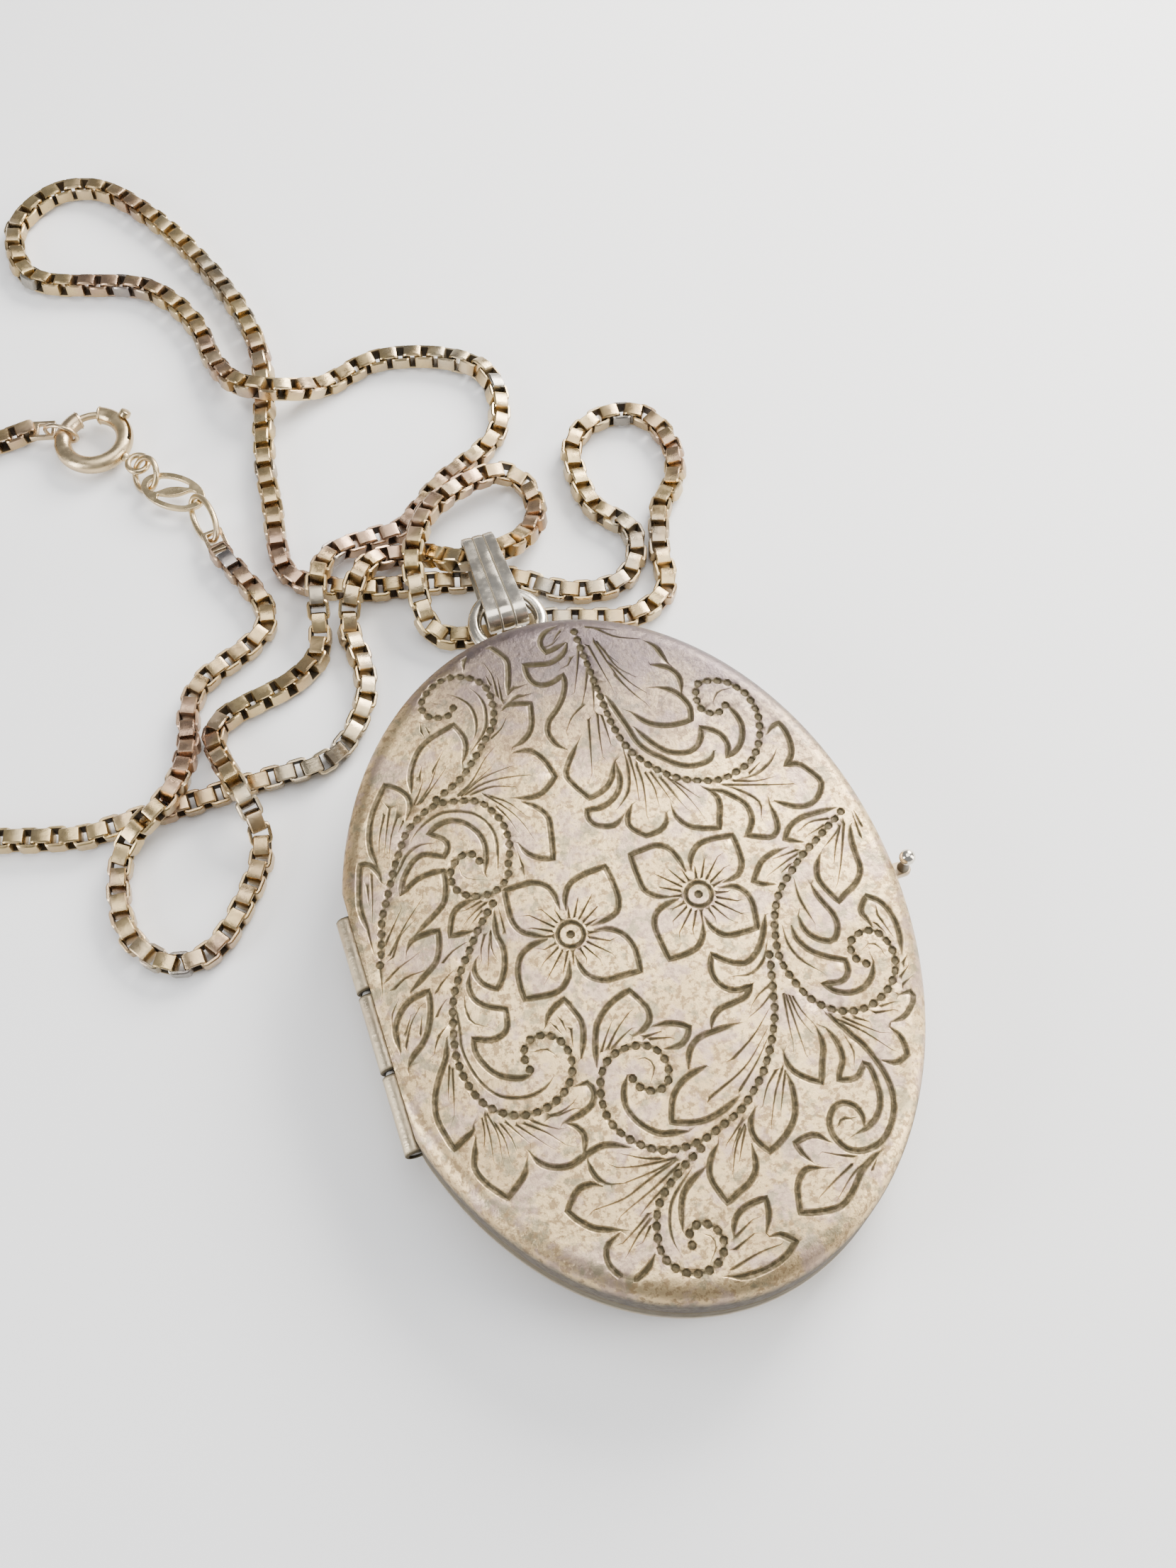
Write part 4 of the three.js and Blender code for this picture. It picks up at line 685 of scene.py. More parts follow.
# Fine shading cuts: (start, bend, end). The start is their deep end.
SHADING = [
    [(-7.2, 14.75), (-7.1, 15.3)], [(-6.8, 14.55), (-6.9, 15.1)], [(-7.3, 12.1), (-6.5, 13)],
    [(-8.1, 12), (-7.8, 12.6)], [(-2.45, 15.6), (-2.35, 16.9), (-2.55, 17.85)],
    [(-2.3, 15.2), (-2.1, 16.7)], [(-2.6, 16.3), (-2.7, 17)], [(-3.6, 13), (-2.9, 13.4), (-2.4, 14)],
    [(-8.85, 10.5), (-8.3, 11.2), (-7.9, 11.9)], [(-8.7, 10.4), (-7.7, 11.3), (-6.9, 12.5)],
    [(-8.4, 10.5), (-7.3, 11.4), (-6.6, 12)], [(-6.4, 10.2), (-5.5, 10.7), (-4.3, 11.9), (-3.6, 12.4)],
    [(-6.4, 10.15), (-5.2, 10.7), (-4.2, 11.2)], [(-6.2, 10.12), (-5, 10.7), (-4, 10.85), (-3.1, 10.9)],
    [(-6, 10.1), (-4.9, 10.4), (-3.7, 10.35), (-2.3, 10.05)], [(-5.6, 10), (-4.5, 10.05), (-3.25, 9.6)],
    [(-5, 9.7), (-4.1, 8.5), (-3.6, 7.5), (-3.25, 6.1)], [(-4.7, 9.5), (-3.9, 8.8), (-3.25, 7.7)],
    [(-4.6, 8.8), (-4.2, 7.9), (-4, 7)], [(-4.35, 4.9), (-4.35, 5.9)],
    [(-10.2, 10.7), (-10.7, 9.5), (-11.2, 8.2)], [(-10, 10), (-10.5, 9.2), (-11, 8)],
    [(-10.6, 10.4), (-11.2, 9.2), (-11.5, 8.2)], [(-12.2, 7.2), (-12.6, 5.6), (-12.9, 4.6)],
    [(-12.6, 6.6), (-12.8, 5.6)], [(-9.7, 9.7), (-10.1, 9.2)],
    [(-12.6, 3.1), (-11.7, 4.2), (-11.2, 4.8)], [(-12.5, 2.5), (-11.2, 3.9), (-10, 4.95)],
    [(-12.4, 2.3), (-11.7, 3.3), (-10.9, 3.8)], [(-13.2, 1.9), (-13.45, 0.6)], [(-13.25, 4), (-13.3, 2.8)],
    [(-13, 1.2), (-12.3, 1.6), (-11.4, 1.9)], [(-12.8, 0.6), (-12.1, 0.95), (-11, 1)],
    [(-10, 1.1), (-9.4, 1.5), (-8.55, 1.75)], [(-10.75, -0.3), (-10.3, 0.1), (-9.65, 0.45)],
    [(-11.15, -1.6), (-10.8, -1.2), (-10.4, -0.9)], [(-13.1, -2.6), (-12.5, -1.5), (-11.8, -0.8)],
    [(-12.9, -1.9), (-12.4, -1.1)], [(-12.2, -2.2), (-11.9, -1.4)],
    [(-6.85, 3.55), (-7.5, 3.3), (-8.3, 2.8)], [(-7.1, 3.72), (-8, 3.5)], [(-7.2, 3.2), (-7.9, 2.7)],
    [(-7.1, 1.9), (-7.5, 1), (-7.8, 0.1)], [(-7.2, 1.7), (-7.35, 0.8), (-7.25, 0.3)],
    [(-7.5, 1.8), (-7.9, 1.1), (-8.05, 0.5)], [(-6.4, 1.75), (-6.3, 3.1)],
    [(-11.3, -4.4), (-11.6, -5.2), (-11.85, -6)], [(-11.2, -4.6), (-11.5, -5.8), (-11.8, -6.9)],
    [(-11.3, -2.6), (-11.6, -3), (-11.85, -3.5)],
    [(-10.5, -7.5), (-10.6, -8.2), (-10.85, -8.9)], [(-10.35, -7.4), (-10.4, -8.5), (-10.6, -9.7)],
    [(-10.2, -7.4), (-10, -8.5), (-10.15, -9.7)], [(-9.95, -8), (-9.75, -8.9), (-9.8, -9.9)],
    [(-9.7, -8.1), (-9.4, -8.9), (-9.35, -9.8)], [(-9.4, -8.1), (-9, -8.8), (-8.6, -9.5)],
    [(-8.95, -8.4), (-8.4, -9.1), (-7.8, -9.9)], [(-8.5, -8.5), (-7.6, -9.3), (-6.95, -10.15)],
    [(-8.1, -8.5), (-7.6, -8.9), (-7, -9.3)], [(-7.2, -8.5), (-6.6, -8.5), (-5.9, -8.25)],
    [(-6.9, -8.6), (-5.9, -8.55)], [(-5.1, -4), (-5.05, -4.7)], [(-4.8, -4.6), (-5, -5.5)],
    [(-5.5, -4.2), (-5.3, -4.7)], [(-2, -12.65), (-3.8, -13.2), (-5, -13.6), (-6.65, -13.65)],
    [(-1.9, -12.9), (-3.5, -13.6), (-5, -14.15), (-5.5, -14.35)],
    [(-2, -12.62), (-3, -12.8), (-4.8, -12.9)], [(-2, -12.55), (-3.8, -12.35), (-5, -12), (-5.2, -11.8)],
    [(-2.7, -12.35), (-3.5, -12.05), (-4.35, -11.55)], [(-3, -13.75), (-4, -14.25), (-4.55, -14.6)],
    [(-4.2, -14.7), (-4.5, -14.9), (-5.8, -15.6)], [(-4.25, -15), (-5, -15.5), (-5.8, -16.2)],
    [(-4.3, -15.3), (-4.9, -15.9)], [(-3.7, -6.2), (-3.2, -5.5), (-2.7, -4.9)],
    [(-3.3, -6.1), (-2.5, -5.3), (-1.65, -4.7)], [(-3.1, -6.2), (-2.4, -5.8), (-1.8, -5.55)],
    [(-1.3, -6.2), (-0.45, -6.2)], [(-1.1, -6.4), (-0.1, -6.65)],
    [(2.6, -8.7), (4, -7.9), (5.2, -6.9)], [(0.7, -10.25), (3, -9.3), (4.8, -7.8)],
    [(2.3, -10.35), (3.6, -9.3), (4.8, -8.1)], [(5.7, -6.1), (4.9, -6.6), (4.2, -6.9)],
    [(5.8, -5.65), (5.1, -5.9), (4.5, -6.35)], [(1.8, -11.9), (0.7, -12.7)],
    [(1.9, -12.1), (1.2, -12.8), (0.45, -14.2)], [(1.9, -12.2), (1.4, -13), (1, -13.7)],
    [(1.6, -12.2), (0.9, -13)], [(4.75, -10), (4, -11), (3.25, -12.35)],
    [(4.4, -10), (3.7, -10.6), (3.1, -11.5)],
    [(4.85, -10.2), (4.3, -11.2), (3.9, -12)], [(-0.5, -17.1), (0.6, -16.6)],
    [(-0.7, -17.65), (0.45, -17.25)],
    [(-1.2, -18.5), (0.3, -18.2), (1.5, -18.15)], [(6.3, -15.65), (5, -16.2), (4.1, -16.65)],
    [(6.6, -15.9), (6, -16.2), (5.1, -16.9)], [(6.5, -15.3), (5.8, -15), (5.1, -14.6)],
    [(7.15, -16.2), (7.6, -15.75)], [(8.25, -15.8), (8.5, -15.45)],
    [(6.3, -6.3), (6, -7.7), (5.8, -8.9)], [(6.4, -6.4), (6.3, -8), (6.2, -9.7)],
    [(6.55, -6.5), (6.6, -7.7), (6.9, -8.7)], [(6.7, -6.6), (6.9, -7.6), (7.2, -8.3)],
    [(8.2, -8.1), (8.7, -9.5), (9.4, -10.6)], [(8.5, -8.5), (9.5, -9.5), (10.5, -10.8)],
    [(8.8, -8.5), (9.8, -9.4), (10.3, -9.8)], [(9.4, -8.7), (10, -9.1)], [(10.5, -8.75), (11.5, -8.9)],
    [(10.9, -8.5), (11.7, -8.5)], [(12.75, -3.7), (13.05, -5.1)], [(12.5, -4.2), (12.75, -4.8)],
    [(13, -6.6), (13.35, -6.3)], [(12.6, -7.25), (13.15, -6.9)], [(12.45, -7.75), (13.15, -7.45)],
    [(9.9, 0.85), (9.5, 0.75), (8, 0.2)], [(10, 1.1), (8.6, 1)], [(9.3, 0.4), (8.7, 0.1)],
    [(12.4, 2.35), (11.3, 2.45), (10.5, 2.1)], [(12, 2.05), (10.9, 1.75)],
    [(13.1, 1.8), (12, -0.4), (11.4, -1.4)], [(12.8, 1.7), (12.1, 0.6), (11.7, -0.2)],
    [(12.6, 1.5), (11.5, 0.8)], [(13.7, 0.9), (13.8, 2.2)], [(14, 1.5), (13.95, 2.4)],
    [(7.6, 6.05), (9, 5.6), (10.3, 5.2), (11.4, 4.9)], [(8.3, 6.1), (9.5, 5.7), (10.3, 5.65)],
    [(9.3, 6.3), (10.1, 6.75)], [(3.3, 9.5), (3.15, 7.8), (2.9, 6.6)], [(3.5, 8.7), (3.45, 7.5), (3, 5.6)],
    [(3.8, 8.1), (3.95, 7.1), (3.85, 6.1)], [(4.1, 8), (4.4, 6.8), (4.55, 6.1)],
    [(4.5, 7.5), (4.8, 6.5), (5.2, 5.3)], [(4.8, 7.6), (5.4, 6.3), (5.85, 4.9)],
    [(5.1, 7.2), (5.7, 6.3), (6.1, 5.7)], [(4.6, 7.3), (5, 6.1)],
    [(1.9, 12.3), (1.5, 10.8), (1, 9)], [(2.5, 12.5), (2.2, 11.3), (1.9, 9.8)], [(2.7, 12.3), (2.6, 10.4)],
    [(1.9, 13.3), (1.1, 12.8), (0.5, 12)], [(2.9, 17), (2.3, 15.5), (1.7, 14.2)],
    [(2.9, 15.5), (2.4, 14.3), (1.8, 13.2)], [(2.25, 16.5), (2, 16.15), (1.5, 16.05)],
    [(2.9, 14.5), (2.6, 13.4), (2.4, 12.8)], [(4.05, 17.1), (4.3, 16.2), (4.75, 15.35)],
    [(3.9, 17.2), (4.25, 15.2), (4.6, 13.9), (5, 13)], [(4.2, 16.6), (4.6, 15.1), (5.4, 14.1)],
    [(3.5, 17), (3.7, 15.2), (3.85, 14)], [(4.3, 18), (5.2, 17.1), (6.5, 16.5)],
    [(4.3, 15.4), (5, 13.8), (5.6, 12.95)], [(4.3, 14.6), (4.9, 13.1), (5.35, 12.3)],
    [(2.3, 18.5), (1.9, 18.2), (1.6, 17.8)], [(3.8, 18.3), (4.6, 17.9), (5.4, 17.5)],
]

# ---- The case ----------------------------------------------------------------------------

RIM_STEPS = 192
PLATE_GRID = 0.85
CUT_HALF = 0.21
CUT_DEEP = 0.12
CUT_EDGE = 0.955


def roll_height(share):
    """Height of the rolled edge, a quarter ellipse from the face down to the side."""
    return SIDE_TOP + (FACE_EDGE - SIDE_TOP) * np.sqrt(np.clip(1 - ((share - EDGE) / (1 - EDGE)) ** 2, 0, 1))


def face_height(points):
    share = np.sqrt((points[:, 0] / HALF_WIDTH) ** 2 + (points[:, 1] / HALF_LENGTH) ** 2)
    crown = FACE_EDGE + FACE_CROWN * (1 - (share / EDGE) ** 2)
    return np.where(share < EDGE, crown, roll_height(share))


def oval_ring(share, height, flat=FLAT_X):
    turn = np.arange(RIM_STEPS) * 2 * math.pi / RIM_STEPS
    x = np.maximum(HALF_WIDTH * share * np.cos(turn), flat)
    y = HALF_LENGTH * share * np.sin(turn)
    return np.stack([x, y, np.full(RIM_STEPS, height)], 1)


def smooth_line(points, step):
    """Samples along a smooth line through the points; a point given twice is a sharp corner."""
    runs, run = [], [points[0]]
    for before, point in zip(points, points[1:]):
        if point == before:
            runs.append(run)
            run = [point]
        else:
            run.append(point)
    runs.append(run)
    samples = []
    for run in runs:
        if len(run) < 2:
            continue
        line, _ = spaced(catmull_rom(run, 10), step)
        samples.append(line if not samples else line[1:])
    return np.concatenate(samples)


def tapered(line, half_width, depth, start=0.35, end=0.35, reach=0.7):
    """The line's samples with their half width and depth: (x, y, half width, depth)."""
    along = np.concatenate([[0], np.cumsum(np.linalg.norm(np.diff(line, axis=0), axis=1))])
    near = np.minimum(1, start + (1 - start) * along / reach)
    near = np.minimum(near, end + (1 - end) * (along[-1] - along) / reach)
    return np.column_stack([line, half_width * near, depth * near])


def on_face(stroke):
    """The parts of a stroke that stay clear of the rolled edge."""
    inside = (stroke[:, 0] / HALF_WIDTH) ** 2 + (stroke[:, 1] / HALF_LENGTH) ** 2 < CUT_EDGE**2
    breaks = np.flatnonzero(np.diff(inside.astype(int))) + 1
    runs = zip(np.split(stroke, breaks), np.split(inside, breaks))
    return [run for run, keep in runs if keep[0] and len(run) > 1]


def ring_stroke(centre, radius, half_width, depth):
    steps = 16
    turn = np.linspace(0, 2 * math.pi, steps + 1)
    line = np.stack([centre[0] + radius * np.cos(turn), centre[1] + radius * np.sin(turn)], 1)
    return np.column_stack([line, np.full(steps + 1, half_width), np.full(steps + 1, depth)])


def engraved_strokes():
    """Every cut as samples (x, y, half width, depth), and the punched dots as (x, y)."""
    strokes, dots = [], []
    for points in OUTLINES:
        strokes.append(tapered(smooth_line(points, 0.3), CUT_HALF, CUT_DEEP))
    for points in COMPANIONS:
        strokes.append(tapered(smooth_line(points, 0.35), CUT_HALF * 0.6, CUT_DEEP * 0.65, 0.2, 0.2, 1.2))
    for points in SHADING:
        line = smooth_line(points, 0.4)
        length = np.linalg.norm(np.diff(line, axis=0), axis=1).sum()
        strokes.append(tapered(line, CUT_HALF * 0.55, CUT_DEEP * 0.7, 0.9, 0.25, length))
    for points in STEMS:
        strokes.append(tapered(smooth_line(points, 0.35), CUT_HALF * 0.85, CUT_DEEP * 0.5))
        beads, _ = spaced(smooth_line(points, 0.1), 0.58)
        dots += beads.tolist()
    for x, y in FLOWERS:
        strokes.append(ring_stroke((x, y), 0.7, 0.16, CUT_DEEP))
        dots.append([x, y])
        for axis in (45, 135, 225, 315):
            for lean, reach in ((-32, 1.6), (-16, 2.1), (0, 2.45), (16, 2.1), (32, 1.6)):
                turn = math.radians(axis + lean)
                out = np.array([math.cos(turn), math.sin(turn)])
                line = np.array([x, y]) + np.linspace(1.0, reach, 4)[:, None] * out
                strokes.append(tapered(line, CUT_HALF * 0.5, CUT_DEEP * 0.75, 0.9, 0.4, reach - 1))
    return [short for stroke in strokes for short in on_face(stroke)], np.array(dots)


def cut_depth(points, strokes, dots):
    """How deep the graver went at each point, in millimetres."""
    starts = np.concatenate([stroke[:-1] for stroke in strokes]).astype(np.float32)
    ends = np.concatenate([stroke[1:] for stroke in strokes]).astype(np.float32)
    run = ends[:, :2] - starts[:, :2]
    square = np.maximum((run**2).sum(1), 1e-9)
    depth = np.zeros(len(points), np.float32)
    for first in range(0, len(points), 500):
        batch = points[first : first + 500, None, :2].astype(np.float32)
        t = np.clip(((batch - starts[None, :, :2]) * run).sum(2) / square, 0, 1)
        gap = np.linalg.norm(batch - starts[None, :, :2] - t[..., None] * run, axis=2)
        half = starts[:, 2] + (ends[:, 2] - starts[:, 2]) * t
        deep = starts[:, 3] + (ends[:, 3] - starts[:, 3]) * t
        cut = (deep * (1 - gap / half)).max(1)
        bead = np.linalg.norm(batch - dots[None].astype(np.float32), axis=2).min(1)
        cut = np.maximum(cut, CUT_DEEP * np.clip((0.26 - bead) / 0.1, 0, 1))
        depth[first : first + 500] = np.maximum(cut, 0)
    return depth


def engraved_plate():
    """The front's face inside its rolled edge: points, triangles and depth of cut.

    The first RIM_STEPS points are its rim.
    """
    strokes, dots = engraved_strokes()
    points, edges = [], []
    for share in (PLATE_EDGE, 0.9625, 0.955, 0.9475, 0.94, 0.93, 0.915):
        first = len(points)
        points += oval_ring(share, 0)[:, :2].tolist()
        if share * HALF_WIDTH < -FLAT_X or first == 0:
            edges += [(first + i, first + (i + 1) % RIM_STEPS) for i in range(RIM_STEPS)]

    def chain(line, closed=False):
        first = len(points)
        points.extend(line.tolist())
        edges.extend((first + i, first + i + 1) for i in range(len(line) - 1))
        if closed:
            edges.append((first + len(line) - 1, first))

    for stroke in strokes:
        along = directions(np.column_stack([stroke[:, :2], np.zeros(len(stroke))]))
        across = np.stack([-along[:, 1], along[:, 0]], 1)
        for side in (-1, 0, 1):
            chain(stroke[:, :2] + side * across * stroke[:, 2:3])
    turn = np.arange(8) * math.pi / 4
    octagon = np.stack([np.cos(turn), np.sin(turn)], 1)
    for dot in dots:
        chain(dot + 0.26 * octagon, closed=True)
        chain(dot + 0.16 * octagon, closed=True)
    for x in np.arange(-14, 14.1, PLATE_GRID):
        for y in np.arange(-19, 19.1, PLATE_GRID):
            if (x / HALF_WIDTH) ** 2 + (y / HALF_LENGTH) ** 2 < 0.9**2:
                points.append([x, y])

    inside = [Vector(point) for point in points]
    verts, _, faces, originals, _, _ = delaunay_2d_cdt(inside, edges, [], 0, 1e-4)
    flat = np.array([vert[:] for vert in verts], float)
    rim_of = {}
    for index, sources in enumerate(originals):
        for source in sources:
            if source < RIM_STEPS:
                rim_of[source] = index
    order = [rim_of[i] for i in range(RIM_STEPS)]
    taken = set(order)
    order += [i for i in range(len(flat)) if i not in taken]
    rank = np.empty(len(order), int)
    rank[order] = np.arange(len(order))
    flat = flat[order]
    cut = cut_depth(flat, strokes, dots)
    cut[:RIM_STEPS] = 0
    heights = face_height(flat) - cut
    triangles = [[int(rank[i]) for i in face] for face in faces]
    return np.column_stack([flat, heights]), triangles, cut / CUT_DEEP


def mirrored(points):
    flipped = np.array(points)
    flipped[:, 2] = 2 * SEAM - flipped[:, 2]
    return flipped


def notched(points):
    """The same, with the edge beside the hinge lifted clear of the knuckles."""
    lifted = np.array(points)
    beside = (lifted[:, 0] < -13.3) & (np.abs(lifted[:, 1] - BARREL_Y) < 6.95)
    lifted[beside, 2] = np.maximum(lifted[beside, 2], SEAM + BARREL_RADIUS + 0.06)
    return lifted


def case_shell(top_height, crown_points, crown_faces, crown_cut, outer, inner):
    """A half case: crown, outer rings down to the seam, seam strip and inner skin."""
    rings = [oval_ring(share, height) for share, height in outer]
    inner_rings = [oval_ring(share, height, FLAT_X + FLAT_WALL) for share, height in inner]
    points = [np.asarray(crown_points)]
    faces = [list(face) for face in crown_faces]
    previous = 0
    offset = len(crown_points)
    for ring in rings + inner_rings:
        for i in range(RIM_STEPS):
            k = (i + 1) % RIM_STEPS
            faces.append([previous + i, offset + i, offset + k, previous + k])
        points.append(ring)
        previous = offset
        offset += RIM_STEPS
    points.append(np.array([[0, 0, top_height]]))
    for i in range(RIM_STEPS):
        faces.append([previous + i, offset, previous + (i + 1) % RIM_STEPS])
    cut = np.zeros(offset + 1)
    cut[: len(crown_cut)] = crown_cut
    points = notched(np.concatenate(points))
    side = np.zeros(len(points))
    first = len(crown_points) + len(rings) * RIM_STEPS
    return points, faces, cut, side, first


def rolled(start, end, steps):
    """A quarter ellipse between two (share, height) points, flat at the start, upright at the end."""
    turn = np.linspace(0, math.pi / 2, steps + 1)[1:]
    return [
        (start[0] + (end[0] - start[0]) * math.sin(t), end[1] + (start[1] - end[1]) * math.cos(t))
        for t in turn
    ]


def front_cover():
    crown, triangles, crown_cut = engraved_plate()
    outer = [(share, float(roll_height(share))) for share in (0.977, 0.983, 0.989, 0.994, 0.998, 1)]
    outer += [(1, 4.3), (1, 3.8), (1, SEAM + SEAM_GAP + 0.06), (0.998, SEAM + SEAM_GAP)]
    inner = [(0.9775, SEAM + SEAM_GAP), (0.9775, 4.6)]
    inner += rolled((0.912, 5.5), (0.9775, 4.6), 5)[::-1][1:]
    inner += [(0.912, 5.5), (0.6, 5.72), (0.3, 5.88)]
    points, faces, cut, side, first_inner = case_shell(5.93, crown, triangles, crown_cut, outer, inner)
    wall = slice(len(crown), first_inner)
    # The side is painted dark as a painted dark reflection, and at the foot of the case so is the lower half
    # of its roll.
    foot = np.clip((-4 - points[wall, 1]) / 9, 0, 1)
    side[wall] = np.clip((SIDE_TOP + 0.1 + 0.45 * foot - points[wall, 2]) / (0.9 - 0.5 * foot), 0, 1)
    build(
        "engraved_front", points, faces, ENGRAVED, "cover", ["front_cover"],
        sharp=27, attributes={"cut": cut, "side": side},
    )


def back_cover():
    crown = oval_ring(0.02, SEAM * 2)
    faces = [list(range(RIM_STEPS))]
    outer = [(0.3, 6.4), (BACK_FLAT, 6.4)]
    outer += [(0.7, 6.34), (0.8, 6.18), (0.88, 6.0), (EDGE, 5.86)]
    outer += rolled((EDGE, 5.86), (1, 4.9), 8)
    outer += [(1, 4.3), (1, 3.8), (1, SEAM + SEAM_GAP + 0.1), (0.996, SEAM + SEAM_GAP)]
    inner = [(0.9775, SEAM + SEAM_GAP), (0.9775, 4.6)]
    inner += rolled((0.912, 5.45), (0.9775, 4.6), 5)[::-1][1:]
    inner += [(0.912, 5.45), (0.6, 5.9), (0.3, 5.93)]
    points, faces, _, _, _ = case_shell(5.95, crown, faces, np.zeros(RIM_STEPS), outer, inner)
    flipped = [face[::-1] for face in faces]
    shell = mirrored(points)
    share = np.sqrt((shell[:, 0] / HALF_WIDTH) ** 2 + (shell[:, 1] / HALF_LENGTH) ** 2)
    on_wall = (share > 0.97) | (shell[:, 0] < FLAT_X + 0.05)
    # The side wall is painted dark as a painted dark reflection; the seam edge is left lighter as a painted
    # highlight.
    shade_and_tarnish = np.where(on_wall, np.clip((shell[:, 2] - 1.5) / 0.4, 0, 0.9), 0)
    shade_and_tarnish[shell[:, 2] > SEAM - SEAM_GAP - 0.01] = 0.25
    build(
        "back_shell", shell, flipped, PLAIN, "case_back", ["back_cover"],
        attributes={"shade_and_tarnish": shade_and_tarnish},
    )


front_cover()
back_cover()


def knuckle(name, middle, body):
    """A hinge knuckle: a tube with chamfered ends."""
    half = KNUCKLE_LENGTH / 2
    rings = [
        (BARREL_BORE, -half), (BARREL_RADIUS - 0.06, -half), (BARREL_RADIUS, -half + 0.06),
        (BARREL_RADIUS, -half + 0.22), (BARREL_RADIUS, half - 0.22),
        (BARREL_RADIUS, half - 0.06), (BARREL_RADIUS - 0.06, half), (BARREL_BORE, half),
    ]
    turn = np.arange(36) * 2 * math.pi / 36
    points = [
        [BARREL_X + r * math.cos(a), BARREL_Y + middle + s, SEAM + r * math.sin(a)]
        for r, s in rings
        for a in turn
    ]
    faces = grid_faces(len(rings), 36, wrap_rows=True, wrap_columns=True)
    # The chamfered ends are painted dark: painted shade in the gaps between knuckles.
    shade_and_tarnish = [0.95 if abs(s) > half - 0.07 else 0.0 for _, s in rings for _ in turn]
    build(
        name + "_tube", points, faces, PLAIN, body, [name],
        sharp=30, attributes={"shade_and_tarnish": shade_and_tarnish},
    )


knuckle("lower_knuckle", -KNUCKLE_PITCH, "case_back")
knuckle("middle_knuckle", 0, "cover")
knuckle("upper_knuckle", KNUCKLE_PITCH, "case_back")

# ---- Thumb piece, loop and bail ----------------------------------------------------------


def thumb_piece():
    lug_low, lug_high = SEAM + 0.15, SEAM + 0.6
    inner, outer = HALF_WIDTH + 0.04, THUMB_X + 0.42
    outline = [(inner, -0.42), (outer - 0.3, -0.42)]
    outline += [
        (outer - 0.3 + 0.3 * math.cos(t), -0.12 + 0.3 * math.sin(t)) for t in np.radians([-60, -30, 0])
    ]
    outline += [(x, -y) for x, y in outline[::-1]]
    ring = np.array(outline)
    middle = ring.mean(0)
    levels = [(0.92, lug_low), (1.0, lug_low + 0.05), (1.0, lug_high - 0.08), (0.9, lug_high)]
    points = np.concatenate([
        np.column_stack([middle + (ring - middle) * size, np.full(len(ring), z)]) for size, z in levels
    ])
    points[:, 1] += THUMB_Y
    count = len(ring)
    faces = grid_faces(4, count, wrap_columns=True)
    faces += [list(reversed(range(count))), [3 * count + j for j in range(count)]]
    build("thumb_step", points, faces, PLAIN, "cover", ["thumb_lug"])
    ball_height, ball = 5.2, 0.45
    post_low = lug_high + 0.04
    profile = [(0.34, post_low), (0.3, post_low + 0.1), (0.26, post_low + 0.22), (0.26, ball_height - 0.42)]
    for t in np.radians(np.arange(-50, 91, 10)):
        profile.append((max(ball * math.cos(t), 0.004), ball_height + ball * math.sin(t)))
    points, faces = lathe(profile, 28)
    points += (THUMB_X, THUMB_Y, 0)
    # The post and the underside of the ball are painted dark: painted shade under the bright ball.
    shade_and_tarnish = np.clip((ball_height - 0.25 - points[:, 2]) * 6, 0, 0.9)
    build("thumb_bead", points, faces, BRIGHT, "cover", ["thumb_ball"], 50, {"shade_and_tarnish": shade_and_tarnish})


def top_loop():
    """A flattened wire that stands in a wide arc over the top of the case."""
    line = arc((0, LOOP_Y, SEAM), LOOP_RADIUS, -54, 234, 72)
    section = round_section(LOOP_WIRE, 20)
    section[:, 1] *= 0.97
    points, faces = sweep(line, section)
    outside = np.sqrt((points[:, 0] / HALF_WIDTH) ** 2 + (points[:, 1] / HALF_LENGTH) ** 2)
    stuck = outside < 1.006
    points[stuck, :2] *= (1.006 / outside[stuck])[:, None]
    build("loop_wire", points, faces, BRIGHT, "case_back", ["top_loop"], sharp=60)


def bail_side(inset, steps=14):
    """The folded strip seen from the side, as (along, height), from the foot round to the tip."""
    foot, tip = BAIL_FOOT_HEIGHT / 2 - inset, BAIL_TIP_HEIGHT / 2 - inset
    foot_at, tip_at = BAIL_FOOT_AT + inset + foot, BAIL_TIP_AT - inset - tip
    foot_turn = np.linspace(math.pi / 2, 3 * math.pi / 2, steps)
    tip_turn = np.linspace(-math.pi / 2, math.pi / 2, steps)
    under = np.linspace(0, 1, 8)[1:-1, None]
    foot_arc = np.stack([foot_at + foot * np.cos(foot_turn), foot * np.sin(foot_turn)], 1)
    tip_arc = np.stack([tip_at + tip * np.cos(tip_turn), tip * np.sin(tip_turn)], 1)
    low = foot_arc[-1] + (tip_arc[0] - foot_arc[-1]) * under
    high = tip_arc[-1] + (foot_arc[0] - tip_arc[-1]) * under
    return np.concatenate([foot_arc, low, tip_arc, high])


